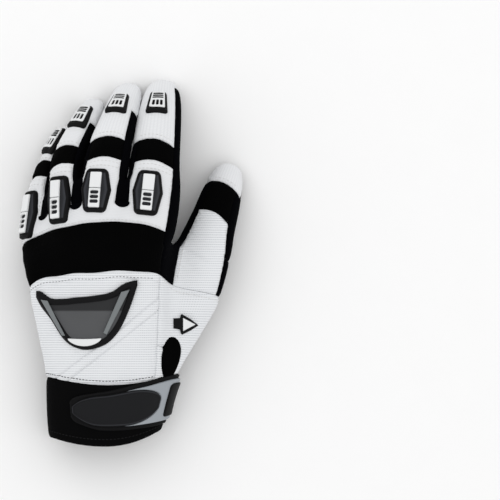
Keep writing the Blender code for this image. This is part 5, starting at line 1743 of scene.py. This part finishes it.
@dataclass
class Studio:
    """A pale floor, soft light from above and both sides, and a camera that looks straight down."""

    frame_width: float = 0.315
    middle: tuple[float, float] = (0.0757, 0.0086)
    # Each light's place, the side of its square and its power
    key_light: tuple = ((-0.45, 0.50, 1.05), 1.3, 2.2)
    fill_light: tuple = ((0.60, 0.05, 1.05), 1.5, 1.1)
    floor_half: float = 3.0
    world_strength: float = 0.90

    def area(self, name: str, place: tuple[float, float, float], size: float, power: float) -> None:
        """A square soft light that faces the glove."""
        light = bpy.data.lights.new(name, "AREA")
        light.size, light.energy = size, power
        lamp = bpy.data.objects.new(name, light)
        lamp.location = place
        bpy.context.scene.collection.objects.link(lamp)
        track = lamp.constraints.new("TRACK_TO")
        track.target = self.target
        track.track_axis, track.up_axis = "TRACK_NEGATIVE_Z", "UP_Y"

    def build(self) -> None:
        """Make the floor, the lights and the camera."""
        floor_finish = GrainFinish("floor_paper", "leather", (0.95, 0.95, 0.95), (0.93, 0.93, 0.93), 0.9,
                                   scale=900.0, depth=0.00001)
        half = self.floor_half
        mesh = bpy.data.meshes.new("floor")
        mesh.from_pydata([(-half, -half, 0), (half, -half, 0), (half, half, 0), (-half, half, 0)], [],
                         [(0, 1, 2, 3)])
        mesh.materials.append(floor_finish.material())
        floor = bpy.data.objects.new("floor", mesh)
        bpy.context.scene.collection.objects.link(floor)
        self.target = bpy.data.objects.new("light_target", None)
        bpy.context.scene.collection.objects.link(self.target)
        self.area("key_light", *self.key_light)
        self.area("fill_light", *self.fill_light)
        world = bpy.data.worlds.new("studio")
        world.use_nodes = True
        background = world.node_tree.nodes["Background"]
        background.inputs["Color"].default_value = (1.0, 1.0, 1.0, 1.0)
        background.inputs["Strength"].default_value = self.world_strength
        bpy.context.scene.world = world
        bpy.context.scene.view_settings.view_transform = "Standard"
        lens = bpy.data.cameras.new("camera")
        lens.type, lens.ortho_scale = "ORTHO", self.frame_width
        camera = bpy.data.objects.new("camera", lens)
        camera.location = (*self.middle, 1.0)
        bpy.context.scene.collection.objects.link(camera)
        bpy.context.scene.camera = camera


def sew(panels: GlovePanels) -> None:
    """Rows of stitches along the seams and hems."""
    white = StitchRows("seam_stitches_white", WHITE_THREAD)
    dark = StitchRows("seam_stitches_dark", GREY_THREAD, step=0.0022, length=0.0013, width=0.00045)
    back, knuckles = panels["back_panel"], panels["knuckle_panel"]
    dark.add(back.line(BACK_SEAM_ROW - 0.17, (0.4, SIDE_COLUMN - 0.4)))
    ink = StitchRows("hem_stitches_ink", INK_THREAD, step=0.0021, length=0.0016, width=0.0006)
    ink.add(back.line(WRIST_ROW + 0.13, (0.6, SIDE_COLUMN - 0.2))).build()
    white.add(knuckles.line(STRETCH_SEAM_ROW + 0.12, (0.3, SIDE_COLUMN - 0.3)))
    for digit in range(4):
        first = 1 + 3 * digit
        white.add(knuckles.line(FINGER_CROTCH_ROW + 0.75, (first, first + 2), 0.12))
        white.add(knuckles.line(FINGER_CROTCH_ROW + 0.50, (first, first + 2), 0.12))
        tip = panels["fingertip_panel_" + DIGIT_NAMES[digit]]
        white.add(tip.line(FINGER_CROTCH_ROW + 2.15, (first, first + 2), 0.12))
        for column in (first + 0.12, first + 1.88):
            white.add(knuckles.column_line(column, (STRETCH_SEAM_ROW + 1.1, FINGER_CROTCH_ROW + 0.7)))
    white.add(panels["thumb_tip_panel"].line(THUMB_CROTCH_ROW + 4.2, (THUMB_COLUMN, THUMB_COLUMN + 2), 0.1))
    for column in (THUMB_COLUMN + 0.12, THUMB_COLUMN + 1.88):
        white.add(panels["thumb_panel"].column_line(column, (BACK_SEAM_ROW + 0.1, THUMB_CROTCH_ROW + 1.8)))
    white.add(panels["thumb_base_panel"].line(BACK_SEAM_ROW - 0.12, (SIDE_COLUMN + 0.2, PALM_COLUMN - 0.2)))
    white.build()
    dark.build()
    StitchRows("seam_stitches_black", BLACK_THREAD).add(panels["cuff"].line(0.22, (0.0, 31.9))).build()


def main() -> None:
    """Build the glove's pieces in order, then the studio round them."""
    logging.basicConfig(level=logging.INFO, format="%(name)s %(message)s")
    form = HandForm()
    panels = GlovePanels(form)
    sew(panels)
    SlotEnds().build(form, panels)
    GussetOval().build(form)
    FingerGuards().build(form)
    BackGuard().build(form)
    PullTab().build(form)
    WristStrap().build(form)
    Studio().build()


if __name__ == "__main__":
    main()
